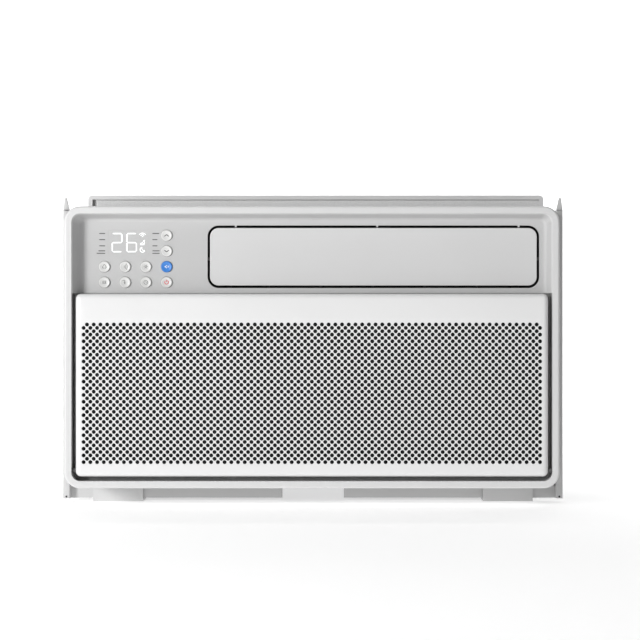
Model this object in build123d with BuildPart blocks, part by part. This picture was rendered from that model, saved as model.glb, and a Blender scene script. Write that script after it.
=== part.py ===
"""Window air conditioner: a flap over its outlet, a tilting intake panel, two pull-out side shutters.

Millimetres. X runs left to right as seen from the room, Y runs from the room to the outside, Z is up.
The origin is the middle of the unit's overall box, on the surface that it stands on.
"""

import math
import os

from build123d import *

os.makedirs("parts", exist_ok=True)

# ---- overall sizes ------------------------------------------------------------
front_width = 560.0
front_height = 319.0
front_depth = 78.0
overall_depth = 520.0
lift = 22.0  # the front's lower edge stands this far above the sill
cabinet_inset = 25.0  # the cabinet is this much narrower than the front at each side
cabinet_below = 4.0  # its underside lies this far above the front's lower edge
cabinet_above = 15.0  # and its top this far below the front's upper edge
cabinet_overlap = 8.0  # how far it reaches into the front
cabinet_corner = 6.0
cabinet_fit = 0.5  # all round, between it and the front's rear opening
sheet = 0.8  # cabinet steel
pan_sheet = 1.0  # base pan steel
plastic = 2.5  # the front's moulded wall
seat_gap = 0.5  # general gap between pieces that are assembled side by side

# ---- the front's openings -----------------------------------------------------
rim = 8.1  # width of the front's border
rim_round = 2.4
front_corner = 18.0
recess_depth = 18.0  # from the border back to the control surface
recess_inset = 5.5  # how far the recess walls lean in
recess_fillet = 5.0
band_height = 90.9  # control surface and outlet, above the intake panel
panel_proud = 1.5  # the intake panel stands out past the border
panel_gap = 4.75
panel_gap_below = 5.1
panel_gap_above = 0.6
panel_corner = 6.0
panel_edge = 6.0
panel_wall = 2.0
panel_clear = 0.8  # between the panel's back edge and the level of the control surface
pocket_depth = 26.0  # from the border back to the intake's rib grid

# ---- outlet -------------------------------------------------------------------
control_area = 147.4  # from the recess wall to the outlet, where the buttons are
outlet_margin = 7.8  # from the outlet to the other recess wall
outlet_above = 7.5  # from the outlet up to the recess wall
outlet_height = 71.2
flap_gap = 2.8
flap_corner = 9.9
flap_thick = 2.5
flap_axis_back = 10.0  # the flap's axis lies this far behind the control surface
flap_axis_below = 2.0  # and this far below the flap's middle
flap_pin_radius = 2.0
flap_pin_fit = 0.05
flap_ear = 3.0  # thickness of the lugs that carry it
flap_back_reach = 27.0  # behind its axis, the room that the open flap takes
duct_wall = 2.0
throat_corner = 1.0
vane_count = 5
vane_length = 20.0
vane_thick = 1.4
vane_pin_radius = 1.5
vane_pin_fit = 0.05
vane_arm = 8.0  # from a vane's pivot to its pin in the link

# ---- buttons and display --------------------------------------------------------
button_radius = 6.3
button_gap = 0.3
button_travel = 1.0
button_proud = 1.8
button_flange = 1.2
button_pitch_x = 23.6
button_pitch_z = 17.75
button_from_side = 100.9  # from the recess wall to the right-hand column
button_above_panel = 13.2  # from the panel's top to the lowest row
display_width = 46.0
display_height = 28.0
display_thick = 1.5
display_fit = 0.05
display_ledge = 2.5
display_from_button = 43.3  # from the right-hand column to the display's middle
display_above_button = 45.2  # from the lowest row to the display's middle
board_back = 13.0  # the circuit board lies this far behind the control surface
board_thick = 1.6
switch_size = 6.0
switch_height = 3.6
switch_gap = 0.1

# ---- intake panel ---------------------------------------------------------------
hinge_in = 7.0  # from the panel's face and from its lower edge to its axis
hinge_pin_radius = 2.5
hinge_fit = 0.08
filter_thick = 5.0
filter_border = 8.0
filter_gap = 1.5
filter_mesh_thick = 0.8
filter_stand = 6.0  # from the panel's skin to the filter's frame

# ---- side shutters and rails ------------------------------------------------------
shutter_past_front = 12.0  # the closed shutter stands out past the front at each side
shutter_behind_front = 4.0
shutter_depth = 22.0
shutter_member = 8.0
shutter_tab = 14.0
arm_depth = 12.0
arm_inset = 10.0  # from the shutter's front to its arms
arm_height = 14.2
arm_start = 36.0  # the arms' inner ends, from the middle
top_arm_height = 12.0
bracket_wall = 3.0
arm_gap = 0.8  # all round an arm, where it slides
bracket_start = 199.0
bracket_width = 58.5
bracket_foot = 20.0
bracket_screw_radius = 2.5
bracket_screw_pitch = 36.0
channel_wide = 3.0
channel_past_curtain = 2.0
rail_past_cabinet = 11.0
rail_shift = 3.4  # the rail's middle stands this far to the right
rail_height = 32.0
rail_wall = 1.6
rail_lip = 5.0
rail_corner = 5.0
rail_screw_pitch = 180.0
screw_radius = 1.9
screw_head_radius = 4.0
screw_head = 2.0
screw_from_lip = 0.6  # from the rail's front to the heads of its screws

# ---- inside -----------------------------------------------------------------------
coil_depth = 35.0
coil_inset = 20.0  # from the cabinet's side to the coils
coil_end_plate = 3.0
evaporator_back = 80.0  # from the border to the back of the indoor coil
scroll_gap = 4.5
scroll_depth = 98.0
scroll_wall = 2.0
wheel_gap = 18.0  # between the blower wheel and its housing
wheel_depth = 80.0
shaft_radius = 4.0
shaft_fit = 0.05
motor_radius = 45.0
motor_length = 90.0
fan_gap = 4.0
rear_grille_depth = 15.0
condenser_gap = 10.0
shroud_thick = 1.5
shroud_ring = 30.0
fan_depth = 34.0
compressor_radius = 55.0
compressor_headroom = 72.0  # from its top to the cabinet's
compressor_foot = 12.0
pipe_radius = 4.0
capillary_radius = 1.5
coil_under_duct = 8.0  # from the duct down to the indoor coil
condenser_below_top = 30.0
scroll_under_duct = 4.0
scroll_on_pan = 2.0
bulkhead_thick = 2.0
bulkhead_gap = 2.0
motor_from_bulkhead = 10.0
fan_from_shroud = 20.0
compressor_from_side = 50.0
throat_from_cabinet = 2.0
throat_narrower = 38.0  # than the outlet
vane_from_throat = 4.0

# ---- derived places ---------------------------------------------------------------
y_front = -overall_depth / 2
y_back = overall_depth / 2
y_rim = y_front + panel_proud
y_floor = y_rim + recess_depth
y_floor_back = y_floor + plastic
y_pocket = y_rim + pocket_depth
y_frame_back = y_rim + front_depth
y_cabinet = y_frame_back - cabinet_overlap
z_front = lift
z_front_top = lift + front_height
z_middle = lift + front_height / 2
z_pan = lift + cabinet_below
z_pan_top = z_pan + pan_sheet
z_cabinet_top = z_front_top - cabinet_above
cabinet_half = front_width / 2 - cabinet_inset
inside_half = cabinet_half - sheet
opening_width = front_width - 2 * rim
opening_height = front_height - 2 * rim
opening_half = opening_width / 2
opening_corner = front_corner - rim
opening_bottom = z_front + rim
recess_half = opening_half - recess_inset
recess_top = z_front_top - rim - recess_inset
panel_width = opening_width - 2 * panel_gap
panel_bottom = opening_bottom + panel_gap_below
panel_top = z_front_top - rim - band_height
panel_height = panel_top - panel_bottom
panel_depth = panel_proud + recess_depth - panel_clear
pocket_top = panel_top + panel_gap_above
y_hinge = y_front + hinge_in
z_hinge = panel_bottom + hinge_in

outlet_left = -recess_half + control_area
outlet_right = recess_half - outlet_margin
outlet_width = outlet_right - outlet_left
outlet_x = (outlet_left + outlet_right) / 2
outlet_top = recess_top - outlet_above
outlet_bottom = outlet_top - outlet_height
outlet_z = (outlet_top + outlet_bottom) / 2
flap_width = outlet_width - 2 * flap_gap
flap_height = outlet_height - 2 * flap_gap
y_flap_axis = y_floor + flap_axis_back
z_flap_axis = outlet_z - flap_axis_below
y_straight_end = y_flap_axis + flap_back_reach
y_throat = y_cabinet - throat_from_cabinet
throat_width = outlet_width - throat_narrower
y_scroll = y_rim + evaporator_back + scroll_gap
y_scroll_back = y_scroll + scroll_depth
y_vane = y_throat + vane_length / 2 + vane_from_throat
z_duct_under = outlet_bottom - duct_wall

button_right = -recess_half + button_from_side
button_low = panel_top + button_above_panel
button_places = {
    "button_up": (3, 3),
    "button_down": (3, 2),
    "button_mute": (3, 1),
    "button_power": (3, 0),
    "button_mode": (2, 1),
    "button_timer": (2, 0),
    "button_swing": (1, 1),
    "button_eco": (1, 0),
    "button_fan": (0, 1),
    "button_filter": (0, 0),
}
button_centres = {
    name: (button_right + (column - 3) * button_pitch_x, button_low + row * button_pitch_z)
    for name, (column, row) in button_places.items()
}
display_x = button_right - display_from_button
display_z = button_low + display_above_button
y_board = y_floor + board_back

y_shutter = y_frame_back + shutter_behind_front
y_arm = y_shutter + arm_inset
shutter_half = front_width / 2 + shutter_past_front
z_arm = bracket_wall + arm_gap
z_curtain = z_arm + arm_height + seat_gap
z_curtain_top = z_cabinet_top - 2 * seat_gap
z_top_arm = z_cabinet_top + rail_wall + arm_gap
rail_half = cabinet_half + rail_past_cabinet
rail_depth = arm_inset + arm_depth + arm_gap + rail_wall
z_rail_top = z_cabinet_top + rail_height
screw_y = y_shutter + screw_head_radius + screw_from_lip

coil_half = cabinet_half - coil_inset
y_evaporator = y_rim + evaporator_back - coil_depth
z_evaporator_top = z_duct_under - coil_under_duct
scroll_radius = (z_duct_under - z_pan_top - 2 * seat_gap - scroll_under_duct) / 2
shaft_x = outlet_x
shaft_z = z_pan_top + scroll_on_pan + seat_gap + scroll_radius
wheel_radius = scroll_radius - wheel_gap
y_bulkhead = y_scroll_back + bulkhead_gap
y_motor = y_bulkhead + bulkhead_thick + motor_from_bulkhead
y_condenser = y_back - rear_grille_depth - condenser_gap - coil_depth
y_shroud = y_condenser - shroud_thick
y_fan = y_shroud - fan_from_shroud - fan_depth
fan_radius = shaft_z - z_pan_top - 2 * fan_gap
z_condenser_top = z_cabinet_top - condenser_below_top
compressor_x = -cabinet_half + compressor_radius + compressor_from_side
compressor_y = (y_bulkhead + bulkhead_thick + y_shroud) / 2
z_compressor = z_pan_top + compressor_foot


def at_depth(y):
    """The upright plane at depth y, seen from the room: its X is X and its Y is Z."""
    return Plane.XZ.offset(-y)


def block(low, high, mode=Mode.ADD):
    """Adds or cuts the box between two corners in the part being built."""
    size = [b - a for a, b in zip(low, high)]
    centre = [(a + b) / 2 for a, b in zip(low, high)]
    with Locations(tuple(centre)):
        Box(*size, mode=mode)


def rod(start, end, radius, mode=Mode.ADD):
    """Adds or cuts the round rod between two points on a line along X, Y or Z."""
    axis = Vector(*end) - Vector(*start)
    with Locations(Plane(origin=start, z_dir=axis)):
        Cylinder(radius, axis.length, align=(Align.CENTER, Align.CENTER, Align.MIN), mode=mode)


def pipe(points, radius, bend):
    """Adds a tube that runs through the points, rounded at each corner."""
    with BuildLine() as route:
        FilletPolyline(*points, radius=bend)
    start = Vector(*points[0])
    with BuildSketch(Plane(origin=start, z_dir=Vector(*points[1]) - start)) as section:
        Circle(radius)
    sweep(section.sketch, path=route.line)


def cabinet_outline(shrink):
    """The cabinet's outline with its upper corners rounded, made smaller by shrink but not at its base."""
    height = z_cabinet_top - z_pan
    with Locations((0, z_pan)):
        RectangleRounded(2 * cabinet_half - 2 * shrink, 2 * height - 2 * shrink, cabinet_corner - shrink)
    with Locations((0, z_pan + height)):
        Rectangle(2 * front_width, 2 * height, mode=Mode.INTERSECT)


def save(builder, name):
    builder.part.label = name
    export_step(builder.part, f"parts/{name}.step")


# ---- front frame --------------------------------------------------------------
# One moulding: a rounded border, a recessed control surface with the outlet in it,
# and below it a deeper pocket for the intake panel, floored with an open rib grid.
window_columns = 10
window_rows = 4
window_rib = 5.0
window_margin = 22.0
window_margin_z = 8.0
window_corner = 3.0
window_width = (opening_width - 2 * window_margin + window_rib) / window_columns - window_rib
window_area = pocket_top - opening_bottom - 2 * window_margin_z
window_height = (window_area + window_rib) / window_rows - window_rib
stop_pitch = 161.0
stop_shift = 4.3
stop_width = 2.0
stop_gap = 0.8
cord_hole_radius = 7.0
cord_y = y_rim + 52.0
cord_z = z_front + 32.0
pad_x = 150.0
tab_half = 12.0
board_post = 3.0
post_from_edge = 4.0
tab_before_cabinet = 6.0
tab_past_screw = 8.0
pad_from_pocket = 10.0
board_half_width = button_pitch_x * 1.5 + 14.0
post_in = 3.5
board_edge_gap = 1.5
board_below_recess_top = 4.0
board_x = button_right - button_pitch_x * 1.5
board_bottom = pocket_top + plastic + board_edge_gap
board_top = recess_top - board_below_recess_top


def pocket_outline(grow):
    """The lower part of the border's opening, up to the pocket's top, grown by a wall."""
    with Locations((0, z_middle)):
        RectangleRounded(
            opening_width + 2 * grow, opening_height + 2 * grow, opening_corner + grow
        )
    with Locations((0, pocket_top + grow - opening_height)):
        Rectangle(2 * front_width, 2 * opening_height, mode=Mode.INTERSECT)


def recess_section(y, grow, lean):
    """The border's opening at depth y, grown by a wall and made smaller by the lean of the recess."""
    with BuildSketch(at_depth(y)) as section:
        with Locations((0, z_middle)):
            RectangleRounded(
                opening_width + 2 * (grow - lean),
                opening_height + 2 * (grow - lean),
                opening_corner + grow - lean / 2,
            )
    return section.sketch


# The space of the recess: it widens towards the room, and its floor is rounded into its walls.
slope = recess_inset / recess_depth
with BuildPart() as recess_space:
    loft([recess_section(y_rim - 1, 0, -slope), recess_section(y_floor, 0, recess_inset)], ruled=True)
    fillet(recess_space.faces().sort_by(Axis.Y)[-1].edges(), recess_fillet)

with BuildPart() as front_frame:
    with BuildSketch(at_depth(y_rim)):
        with Locations((0, z_middle)):
            RectangleRounded(front_width, front_height, front_corner)
    extrude(amount=-front_depth)
    fillet(front_frame.faces().sort_by(Axis.Y)[0].edges(), rim_round)
    with BuildSketch(at_depth(y_rim + plastic)):
        with Locations((0, z_middle)):
            RectangleRounded(
                front_width - 2 * plastic, front_height - 2 * plastic, front_corner - plastic
            )
    extrude(amount=-(front_depth - 2 * plastic), mode=Mode.SUBTRACT)
    # the rear ring's hole takes the cabinet
    block(
        (-cabinet_half - cabinet_fit, y_frame_back - plastic - 1, z_pan - cabinet_fit),
        (cabinet_half + cabinet_fit, y_frame_back + 1, z_cabinet_top + cabinet_fit),
        Mode.SUBTRACT,
    )
    # walls of the recess and of the pocket
    loft(
        [
            recess_section(y_rim + plastic / 2, plastic, 0),
            recess_section(y_floor_back, plastic, recess_inset),
        ],
        ruled=True,
    )
    with BuildSketch(at_depth(y_rim + plastic / 2)):
        pocket_outline(plastic)
    extrude(amount=-(pocket_depth + plastic / 2))
    add(recess_space.part, mode=Mode.SUBTRACT)
    # the pocket
    with BuildSketch(at_depth(y_rim - 1)):
        pocket_outline(0)
    extrude(amount=-(pocket_depth + 1), mode=Mode.SUBTRACT)
    # rib grid in the pocket's floor
    with BuildSketch(at_depth(y_pocket - 1)):
        with Locations((0, (pocket_top + opening_bottom) / 2)):
            with GridLocations(
                window_width + window_rib, window_height + window_rib, window_columns, window_rows
            ):
                RectangleRounded(window_width, window_height, window_corner)
    extrude(amount=-(plastic + 2), mode=Mode.SUBTRACT)
    # outlet, button holes, the display's window and its seat
    with BuildSketch(at_depth(y_floor - 1)):
        with Locations((outlet_x, outlet_z)):
            RectangleRounded(outlet_width, outlet_height, flap_corner + flap_gap)
        with Locations(*button_centres.values()):
            Circle(button_radius + button_gap)
        with Locations((display_x, display_z)):
            Rectangle(display_width - 2 * display_ledge, display_height - 2 * display_ledge)
    extrude(amount=-(plastic + 2), mode=Mode.SUBTRACT)
    with BuildSketch(at_depth(y_floor - 1)):
        with Locations((display_x, display_z)):
            Rectangle(display_width + 2 * display_fit, display_height + 2 * display_fit)
    extrude(amount=-(display_thick + 1), mode=Mode.SUBTRACT)
    # small stops above the flap
    for i in (-1, 0, 1):
        stop_x = outlet_x + stop_shift + i * stop_pitch
        block(
            (stop_x - stop_width / 2, y_floor + 0.3, outlet_top - flap_gap + stop_gap),
            (stop_x + stop_width / 2, y_floor_back, outlet_top + 0.5),
        )
    # bores for the panel's pins, and the cord inlet in the side
    for side in (-1, 1):
        rod(
            (side * (opening_half - 1), y_hinge, z_hinge),
            (side * (opening_half + plastic + 1), y_hinge, z_hinge),
            hinge_pin_radius + hinge_fit,
            Mode.SUBTRACT,
        )
    rod(
        (front_width / 2 - plastic - 1, cord_y, cord_z),
        (front_width / 2 + 1, cord_y, cord_z),
        cord_hole_radius,
        Mode.SUBTRACT,
    )
    # hooks under the cabinet's top, each with a screw hole, and pads under the base pan
    for i in (-1, 0, 1):
        tab_x = i * rail_screw_pitch
        block(
            (tab_x - tab_half, y_cabinet - tab_before_cabinet, z_cabinet_top - sheet - plastic),
            (tab_x + tab_half, screw_y + tab_past_screw, z_cabinet_top - sheet),
        )
        block(
            (tab_x - tab_half, y_cabinet - tab_before_cabinet, z_cabinet_top - sheet - plastic),
            (tab_x + tab_half, y_cabinet - tab_before_cabinet + plastic, z_front_top - plastic / 2),
        )
        rod(
            (tab_x, screw_y, z_cabinet_top - sheet - plastic - 1),
            (tab_x, screw_y, z_cabinet_top),
            screw_radius,
            Mode.SUBTRACT,
        )
    for side in (-1, 1):
        block(
            (side * pad_x - tab_half, y_pocket + pad_from_pocket, z_front + plastic / 2),
            (side * pad_x + tab_half, y_cabinet - 2, z_pan),
        )
    # posts that carry the circuit board
    for x in (board_x - board_half_width + post_in, board_x + board_half_width - post_in):
        for z in (board_bottom + post_from_edge, board_top - post_from_edge):
            rod((x, y_floor_back - 0.5, z), (x, y_board, z), board_post)
save(front_frame, "front_frame")

# ---- intake panel, with its pins, and the filter behind it ---------------------------
filter_half = panel_width / 2 - panel_wall - filter_gap
filter_above_hinge = 8.0
filter_low = panel_bottom + panel_wall + filter_gap + filter_above_hinge
filter_high = panel_top - panel_wall - filter_gap
filter_z = (filter_low + filter_high) / 2
filter_height = filter_high - filter_low
y_filter = y_front + panel_wall + filter_stand
filter_columns = 5
filter_rib = 3.0
filter_pad_radius = 3.0
filter_pad_in = 4.0
filter_mesh_in = 1.0
pin_past_wall = 0.6

with BuildPart() as intake_grille:
    with BuildSketch(at_depth(y_front)):
        with Locations((0, (panel_bottom + panel_top) / 2)):
            RectangleRounded(panel_width, panel_height, panel_corner)
    extrude(amount=-panel_depth)
    fillet(intake_grille.faces().sort_by(Axis.Y)[0].edges(), panel_edge - 0.1)
    offset(amount=-panel_wall, openings=intake_grille.faces().sort_by(Axis.Y)[-1])
    for side in (-1, 1):
        rod(
            (side * (panel_width / 2 - panel_wall), y_hinge, z_hinge),
            (side * (opening_half + plastic + pin_past_wall), y_hinge, z_hinge),
            hinge_pin_radius,
        )
    # pads that hold the filter off the skin
    for x in (-filter_half + filter_pad_in, 0, filter_half - filter_pad_in):
        for z in (filter_low + filter_pad_in, filter_high - filter_pad_in):
            rod((x, y_front + panel_wall - 0.5, z), (x, y_filter, z), filter_pad_radius)
save(intake_grille, "intake_grille")

with BuildPart() as filter_frame:
    with BuildSketch(at_depth(y_filter)):
        with Locations((0, filter_z)):
            Rectangle(2 * filter_half, filter_height)
            window = (2 * filter_half - 2 * filter_border + filter_rib) / filter_columns
            with GridLocations(window, 0, filter_columns, 1):
                Rectangle(
                    window - filter_rib, filter_height - 2 * filter_border, mode=Mode.SUBTRACT
                )
    extrude(amount=-filter_thick)
save(filter_frame, "filter_frame")

with BuildPart() as filter_mesh:
    block(
        (-filter_half + filter_mesh_in, y_filter + filter_thick, filter_low + filter_mesh_in),
        (
            filter_half - filter_mesh_in,
            y_filter + filter_thick + filter_mesh_thick,
            filter_high - filter_mesh_in,
        ),
    )
save(filter_mesh, "filter_mesh")

# ---- outlet flap, its pin, motor and shaft --------------------------------------------
flap_edge = 0.8
ear_radius = 5.0
ear_in = 1.0
flap_left = outlet_left + flap_gap
flap_right = outlet_right - flap_gap
pin_start = outlet_left - duct_wall
pin_head_radius = 4.0
pin_head = 1.5
flap_motor_radius = 12.0
flap_motor_length = 13.0
flap_motor_offset = 8.0
flap_shaft_in_motor = 8.0

with BuildPart() as outlet_flap:
    with BuildSketch(at_depth(y_floor)):
        with Locations((outlet_x, outlet_z)):
            RectangleRounded(flap_width, flap_height, flap_corner)
    extrude(amount=-flap_thick)
    fillet(outlet_flap.faces().sort_by(Axis.Y)[0].edges(), flap_edge)
    for x in (flap_left + ear_in, flap_right - ear_in - flap_ear):
        rod((x, y_flap_axis, z_flap_axis), (x + flap_ear, y_flap_axis, z_flap_axis), ear_radius)
        block(
            (x, y_floor + flap_thick / 2, z_flap_axis - ear_radius),
            (x + flap_ear, y_flap_axis, z_flap_axis + ear_radius),
        )
    rod(
        (flap_left, y_flap_axis, z_flap_axis),
        (flap_left + ear_in + flap_ear + 1, y_flap_axis, z_flap_axis),
        flap_pin_radius + flap_pin_fit,
        Mode.SUBTRACT,
    )
    rod(
        (flap_right - ear_in - flap_ear - 1, y_flap_axis, z_flap_axis),
        (flap_right, y_flap_axis, z_flap_axis),
        flap_pin_radius,
        Mode.SUBTRACT,
    )
save(outlet_flap, "outlet_flap")

with BuildPart() as flap_pin:
    rod(
        (pin_start - pin_head, y_flap_axis, z_flap_axis),
        (pin_start, y_flap_axis, z_flap_axis),
        pin_head_radius,
    )
    rod(
        (pin_start - 0.5, y_flap_axis, z_flap_axis),
        (flap_left + ear_in + flap_ear, y_flap_axis, z_flap_axis),
        flap_pin_radius,
    )
save(flap_pin, "flap_pin")

motor_face = outlet_right + duct_wall
with BuildPart() as flap_motor:
    rod(
        (motor_face, y_flap_axis + flap_motor_offset, z_flap_axis),
        (motor_face + flap_motor_length, y_flap_axis + flap_motor_offset, z_flap_axis),
        flap_motor_radius,
    )
    rod(
        (motor_face - 1, y_flap_axis, z_flap_axis),
        (motor_face + flap_shaft_in_motor, y_flap_axis, z_flap_axis),
        flap_pin_radius + flap_pin_fit,
        Mode.SUBTRACT,
    )
save(flap_motor, "flap_motor")

with BuildPart() as flap_shaft:
    rod(
        (flap_right - ear_in - flap_ear, y_flap_axis, z_flap_axis),
        (motor_face + flap_shaft_in_motor - 0.5, y_flap_axis, z_flap_axis),
        flap_pin_radius,
    )
save(flap_shaft, "flap_shaft")

# ---- outlet duct ------------------------------------------------------------------------
vane_pitch = throat_width / (vane_count + 0.6)
vane_xs = [outlet_x + (i - (vane_count - 1) / 2) * vane_pitch for i in range(vane_count)]
scroll_mouth_left = shaft_x - scroll_radius * 0.45
scroll_mouth_right = shaft_x + scroll_radius


def duct_section(y, width, corner, grow):
    """The duct's outline at depth y, or that of its air space when grow is 0."""
    with BuildSketch(at_depth(y)) as section:
        with Locations((outlet_x, outlet_z)):
            RectangleRounded(width + 2 * grow, outlet_height + 2 * grow, corner + grow)
    return section.sketch


def duct_body(grow, y_end, mode):
    """The duct from the control surface back to y_end: straight, narrowing, then straight again."""
    mouth = duct_section(y_floor_back, outlet_width, flap_corner + flap_gap, grow)
    waist = duct_section(y_straight_end, outlet_width, flap_corner + flap_gap, grow)
    throat = duct_section(y_throat, throat_width, throat_corner, grow)
    extrude(mouth, amount=-(y_straight_end - y_floor_back), mode=mode)
    loft([waist, throat], mode=mode)
    extrude(throat, amount=-(y_end - y_throat), mode=mode)


with BuildPart() as outlet_duct:
    duct_body(duct_wall, y_scroll_back, Mode.ADD)
    duct_body(0, y_scroll_back - duct_wall, Mode.SUBTRACT)
    # the scroll blows in from below
    block(
        (scroll_mouth_left + scroll_wall, y_scroll + scroll_wall, z_duct_under - 1),
        (scroll_mouth_right - scroll_wall, y_scroll_back - scroll_wall, outlet_bottom + 1),
        Mode.SUBTRACT,
    )
    # bores for the vanes' pins, the flap's pin and its shaft
    for x in vane_xs:
        rod(
            (x, y_vane, z_duct_under - 1),
            (x, y_vane, outlet_top + duct_wall + 1),
            vane_pin_radius + vane_pin_fit,
            Mode.SUBTRACT,
        )
    rod(
        (outlet_left - duct_wall - 1, y_flap_axis, z_flap_axis),
        (outlet_left + 1, y_flap_axis, z_flap_axis),
        flap_pin_radius,
        Mode.SUBTRACT,
    )
    rod(
        (outlet_right - 1, y_flap_axis, z_flap_axis),
        (outlet_right + duct_wall + 1, y_flap_axis, z_flap_axis),
        flap_pin_radius + 0.5,
        Mode.SUBTRACT,
    )
save(outlet_duct, "outlet_duct")

# ---- vanes and the link that turns them together -------------------------------------------
vane_gap = 2.5
link_thick = 2.0
link_width = 7.0
link_end = 6.0  # past the outer vanes
link_pin_radius = 1.2
link_z = outlet_bottom + 12.0
slot_gap = 0.35

for number, x in enumerate(vane_xs, start=1):
    with BuildPart() as vane:
        block(
            (x - vane_thick / 2, y_vane - vane_length / 2, outlet_bottom + vane_gap),
            (x + vane_thick / 2, y_vane + vane_length / 2, outlet_top - vane_gap),
        )
        rod(
            (x, y_vane, z_duct_under),
            (x, y_vane, outlet_top + duct_wall),
            vane_pin_radius,
        )
        # window for the link, bridged by the link's pin
        block(
            (x - vane_thick, y_vane + 2.5, link_z - 3),
            (x + vane_thick, y_vane + vane_length / 2 + 1, link_z + link_thick + 3),
            Mode.SUBTRACT,
        )
        block(
            (x - vane_thick / 2, y_vane + 1.5, link_z - 5),
            (x + vane_thick / 2, y_vane + vane_arm + 1.2, link_z - 3 + 0.01),
        )
        rod((x, y_vane + vane_arm, link_z - 4.5), (x, y_vane + vane_arm, link_z + 4), link_pin_radius)
    save(vane, f"vane_{number}")

slot_half = vane_arm * (1 - math.cos(math.radians(30))) + link_pin_radius + slot_gap
with BuildPart() as vane_link:
    block(
        (vane_xs[0] - link_end, y_vane + vane_arm - link_width / 2 - 0.5, link_z),
        (vane_xs[-1] + link_end, y_vane + vane_arm + link_width / 2, link_z + link_thick),
    )
    for x in vane_xs:
        reach = link_pin_radius + slot_gap
        block(
            (x - reach, y_vane + vane_arm - slot_half, link_z - 1),
            (x + reach, y_vane + vane_arm + reach, link_z + link_thick + 1),
            Mode.SUBTRACT,
        )
save(vane_link, "vane_link")

# ---- buttons, display and circuit board -------------------------------------------------------
button_edge = 0.8
flange_radius = button_radius + 1.0
y_flange = y_floor_back + seat_gap / 2
y_switch = y_board - switch_height
stem_radius = 2.5

for name, (x, z) in button_centres.items():
    with BuildPart() as button:
        rod((x, y_floor - button_proud, z), (x, y_flange + button_flange, z), button_radius)
        fillet(button.faces().sort_by(Axis.Y)[0].edges(), button_edge)
        rod((x, y_flange, z), (x, y_flange + button_flange, z), flange_radius)
        rod(
            (x, y_flange, z),
            (x, y_switch - button_travel - switch_gap, z),
            stem_radius,
        )
    save(button, name)

with BuildPart() as display_lens:
    with BuildSketch(at_depth(y_floor)):
        with Locations((display_x, display_z)):
            Rectangle(display_width, display_height)
    extrude(amount=-display_thick)
save(display_lens, "display_lens")

with BuildPart() as control_board:
    block(
        (board_x - board_half_width, y_board, board_bottom),
        (board_x + board_half_width, y_board + board_thick, board_top),
    )
    for x, z in button_centres.values():
        block(
            (x - switch_size / 2, y_switch, z - switch_size / 2),
            (x + switch_size / 2, y_board + 0.2, z + switch_size / 2),
        )
    # the light guide behind the lens
    guide_x = display_width / 2 - display_ledge - 1
    guide_z = display_height / 2 - display_ledge - 1
    block(
        (display_x - guide_x, y_floor_back + seat_gap, display_z - guide_z),
        (display_x + guide_x, y_board + 0.2, display_z + guide_z),
    )
save(control_board, "control_board")

# ---- base pan, cabinet, rear grille and bulkhead ----------------------------------------------
pan_edge = 18.0
y_pan = y_pocket + 10.0
y_pan_back = y_back - rear_grille_depth
foot_radius = 14.0
foot_x = cabinet_half - 70.0
foot_y = y_back - 50.0
drain_radius = 6.0
drain_x = 60.0
drain_y = y_back - 90.0

with BuildPart() as base_pan:
    block((-inside_half, y_pan, z_pan), (inside_half, y_pan_back, z_pan + pan_edge))
    block(
        (-inside_half + pan_sheet, y_pan + pan_sheet, z_pan_top),
        (inside_half - pan_sheet, y_pan_back - pan_sheet, z_pan + pan_edge + 1),
        Mode.SUBTRACT,
    )
    for side in (-1, 1):
        rod((side * foot_x, foot_y, 0), (side * foot_x, foot_y, z_pan + pan_sheet / 2), foot_radius)
    rod(
        (drain_x, drain_y, z_pan - 1), (drain_x, drain_y, z_pan_top + 1), drain_radius, Mode.SUBTRACT
    )
save(base_pan, "base_pan")

slot_wide = 4.5
side_slot_tall = 92.0
side_slot_pitch = 13.0
side_slots = 12
top_slot_long = 60.0
top_slot_pitch = 14.0
top_slots = 14
low_slots_down = 62.0
high_slots_up = 50.0
y_side_slots = y_condenser - 90.0

with BuildPart() as cabinet_shell:
    with BuildSketch(at_depth(y_cabinet)):
        cabinet_outline(0)
    extrude(amount=-(y_back - 2 - y_cabinet))
    with BuildSketch(at_depth(y_cabinet)):
        cabinet_outline(sheet)
    extrude(amount=-(y_back - y_cabinet), mode=Mode.SUBTRACT)
    for z in (z_middle - low_slots_down, z_middle + high_slots_up):
        for i in range(side_slots):
            y = y_side_slots + (i - side_slots / 2) * side_slot_pitch
            block(
                (-cabinet_half - 1, y, z - side_slot_tall / 2),
                (cabinet_half + 1, y + slot_wide, z + side_slot_tall / 2),
                Mode.SUBTRACT,
            )
    for side in (-1, 1):
        for i in range(top_slots):
            x = side * cabinet_half / 2 + (i - (top_slots - 1) / 2) * top_slot_pitch
            block(
                (x - slot_wide / 2, y_side_slots - top_slot_long / 2, z_cabinet_top - sheet - 1),
                (x + slot_wide / 2, y_side_slots + top_slot_long / 2, z_cabinet_top + 1),
                Mode.SUBTRACT,
            )
    for i in (-1, 0, 1):
        rod(
            (i * rail_screw_pitch, screw_y, z_cabinet_top - sheet - 1),
            (i * rail_screw_pitch, screw_y, z_cabinet_top + 1),
            screw_radius,
            Mode.SUBTRACT,
        )
save(cabinet_shell, "cabinet_shell")

grille_plate = 1.5
grille_border = 18.0
grille_columns = 4
grille_rows = 22
grille_rib = 8.0
grille_open = 0.6  # a slot's share of its pitch
grille_top = z_cabinet_top - sheet
grille_slot_width = (2 * inside_half - 2 * grille_border + grille_rib) / grille_columns - grille_rib
grille_slot_pitch = (grille_top - z_pan - 2 * grille_border) / grille_rows

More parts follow.
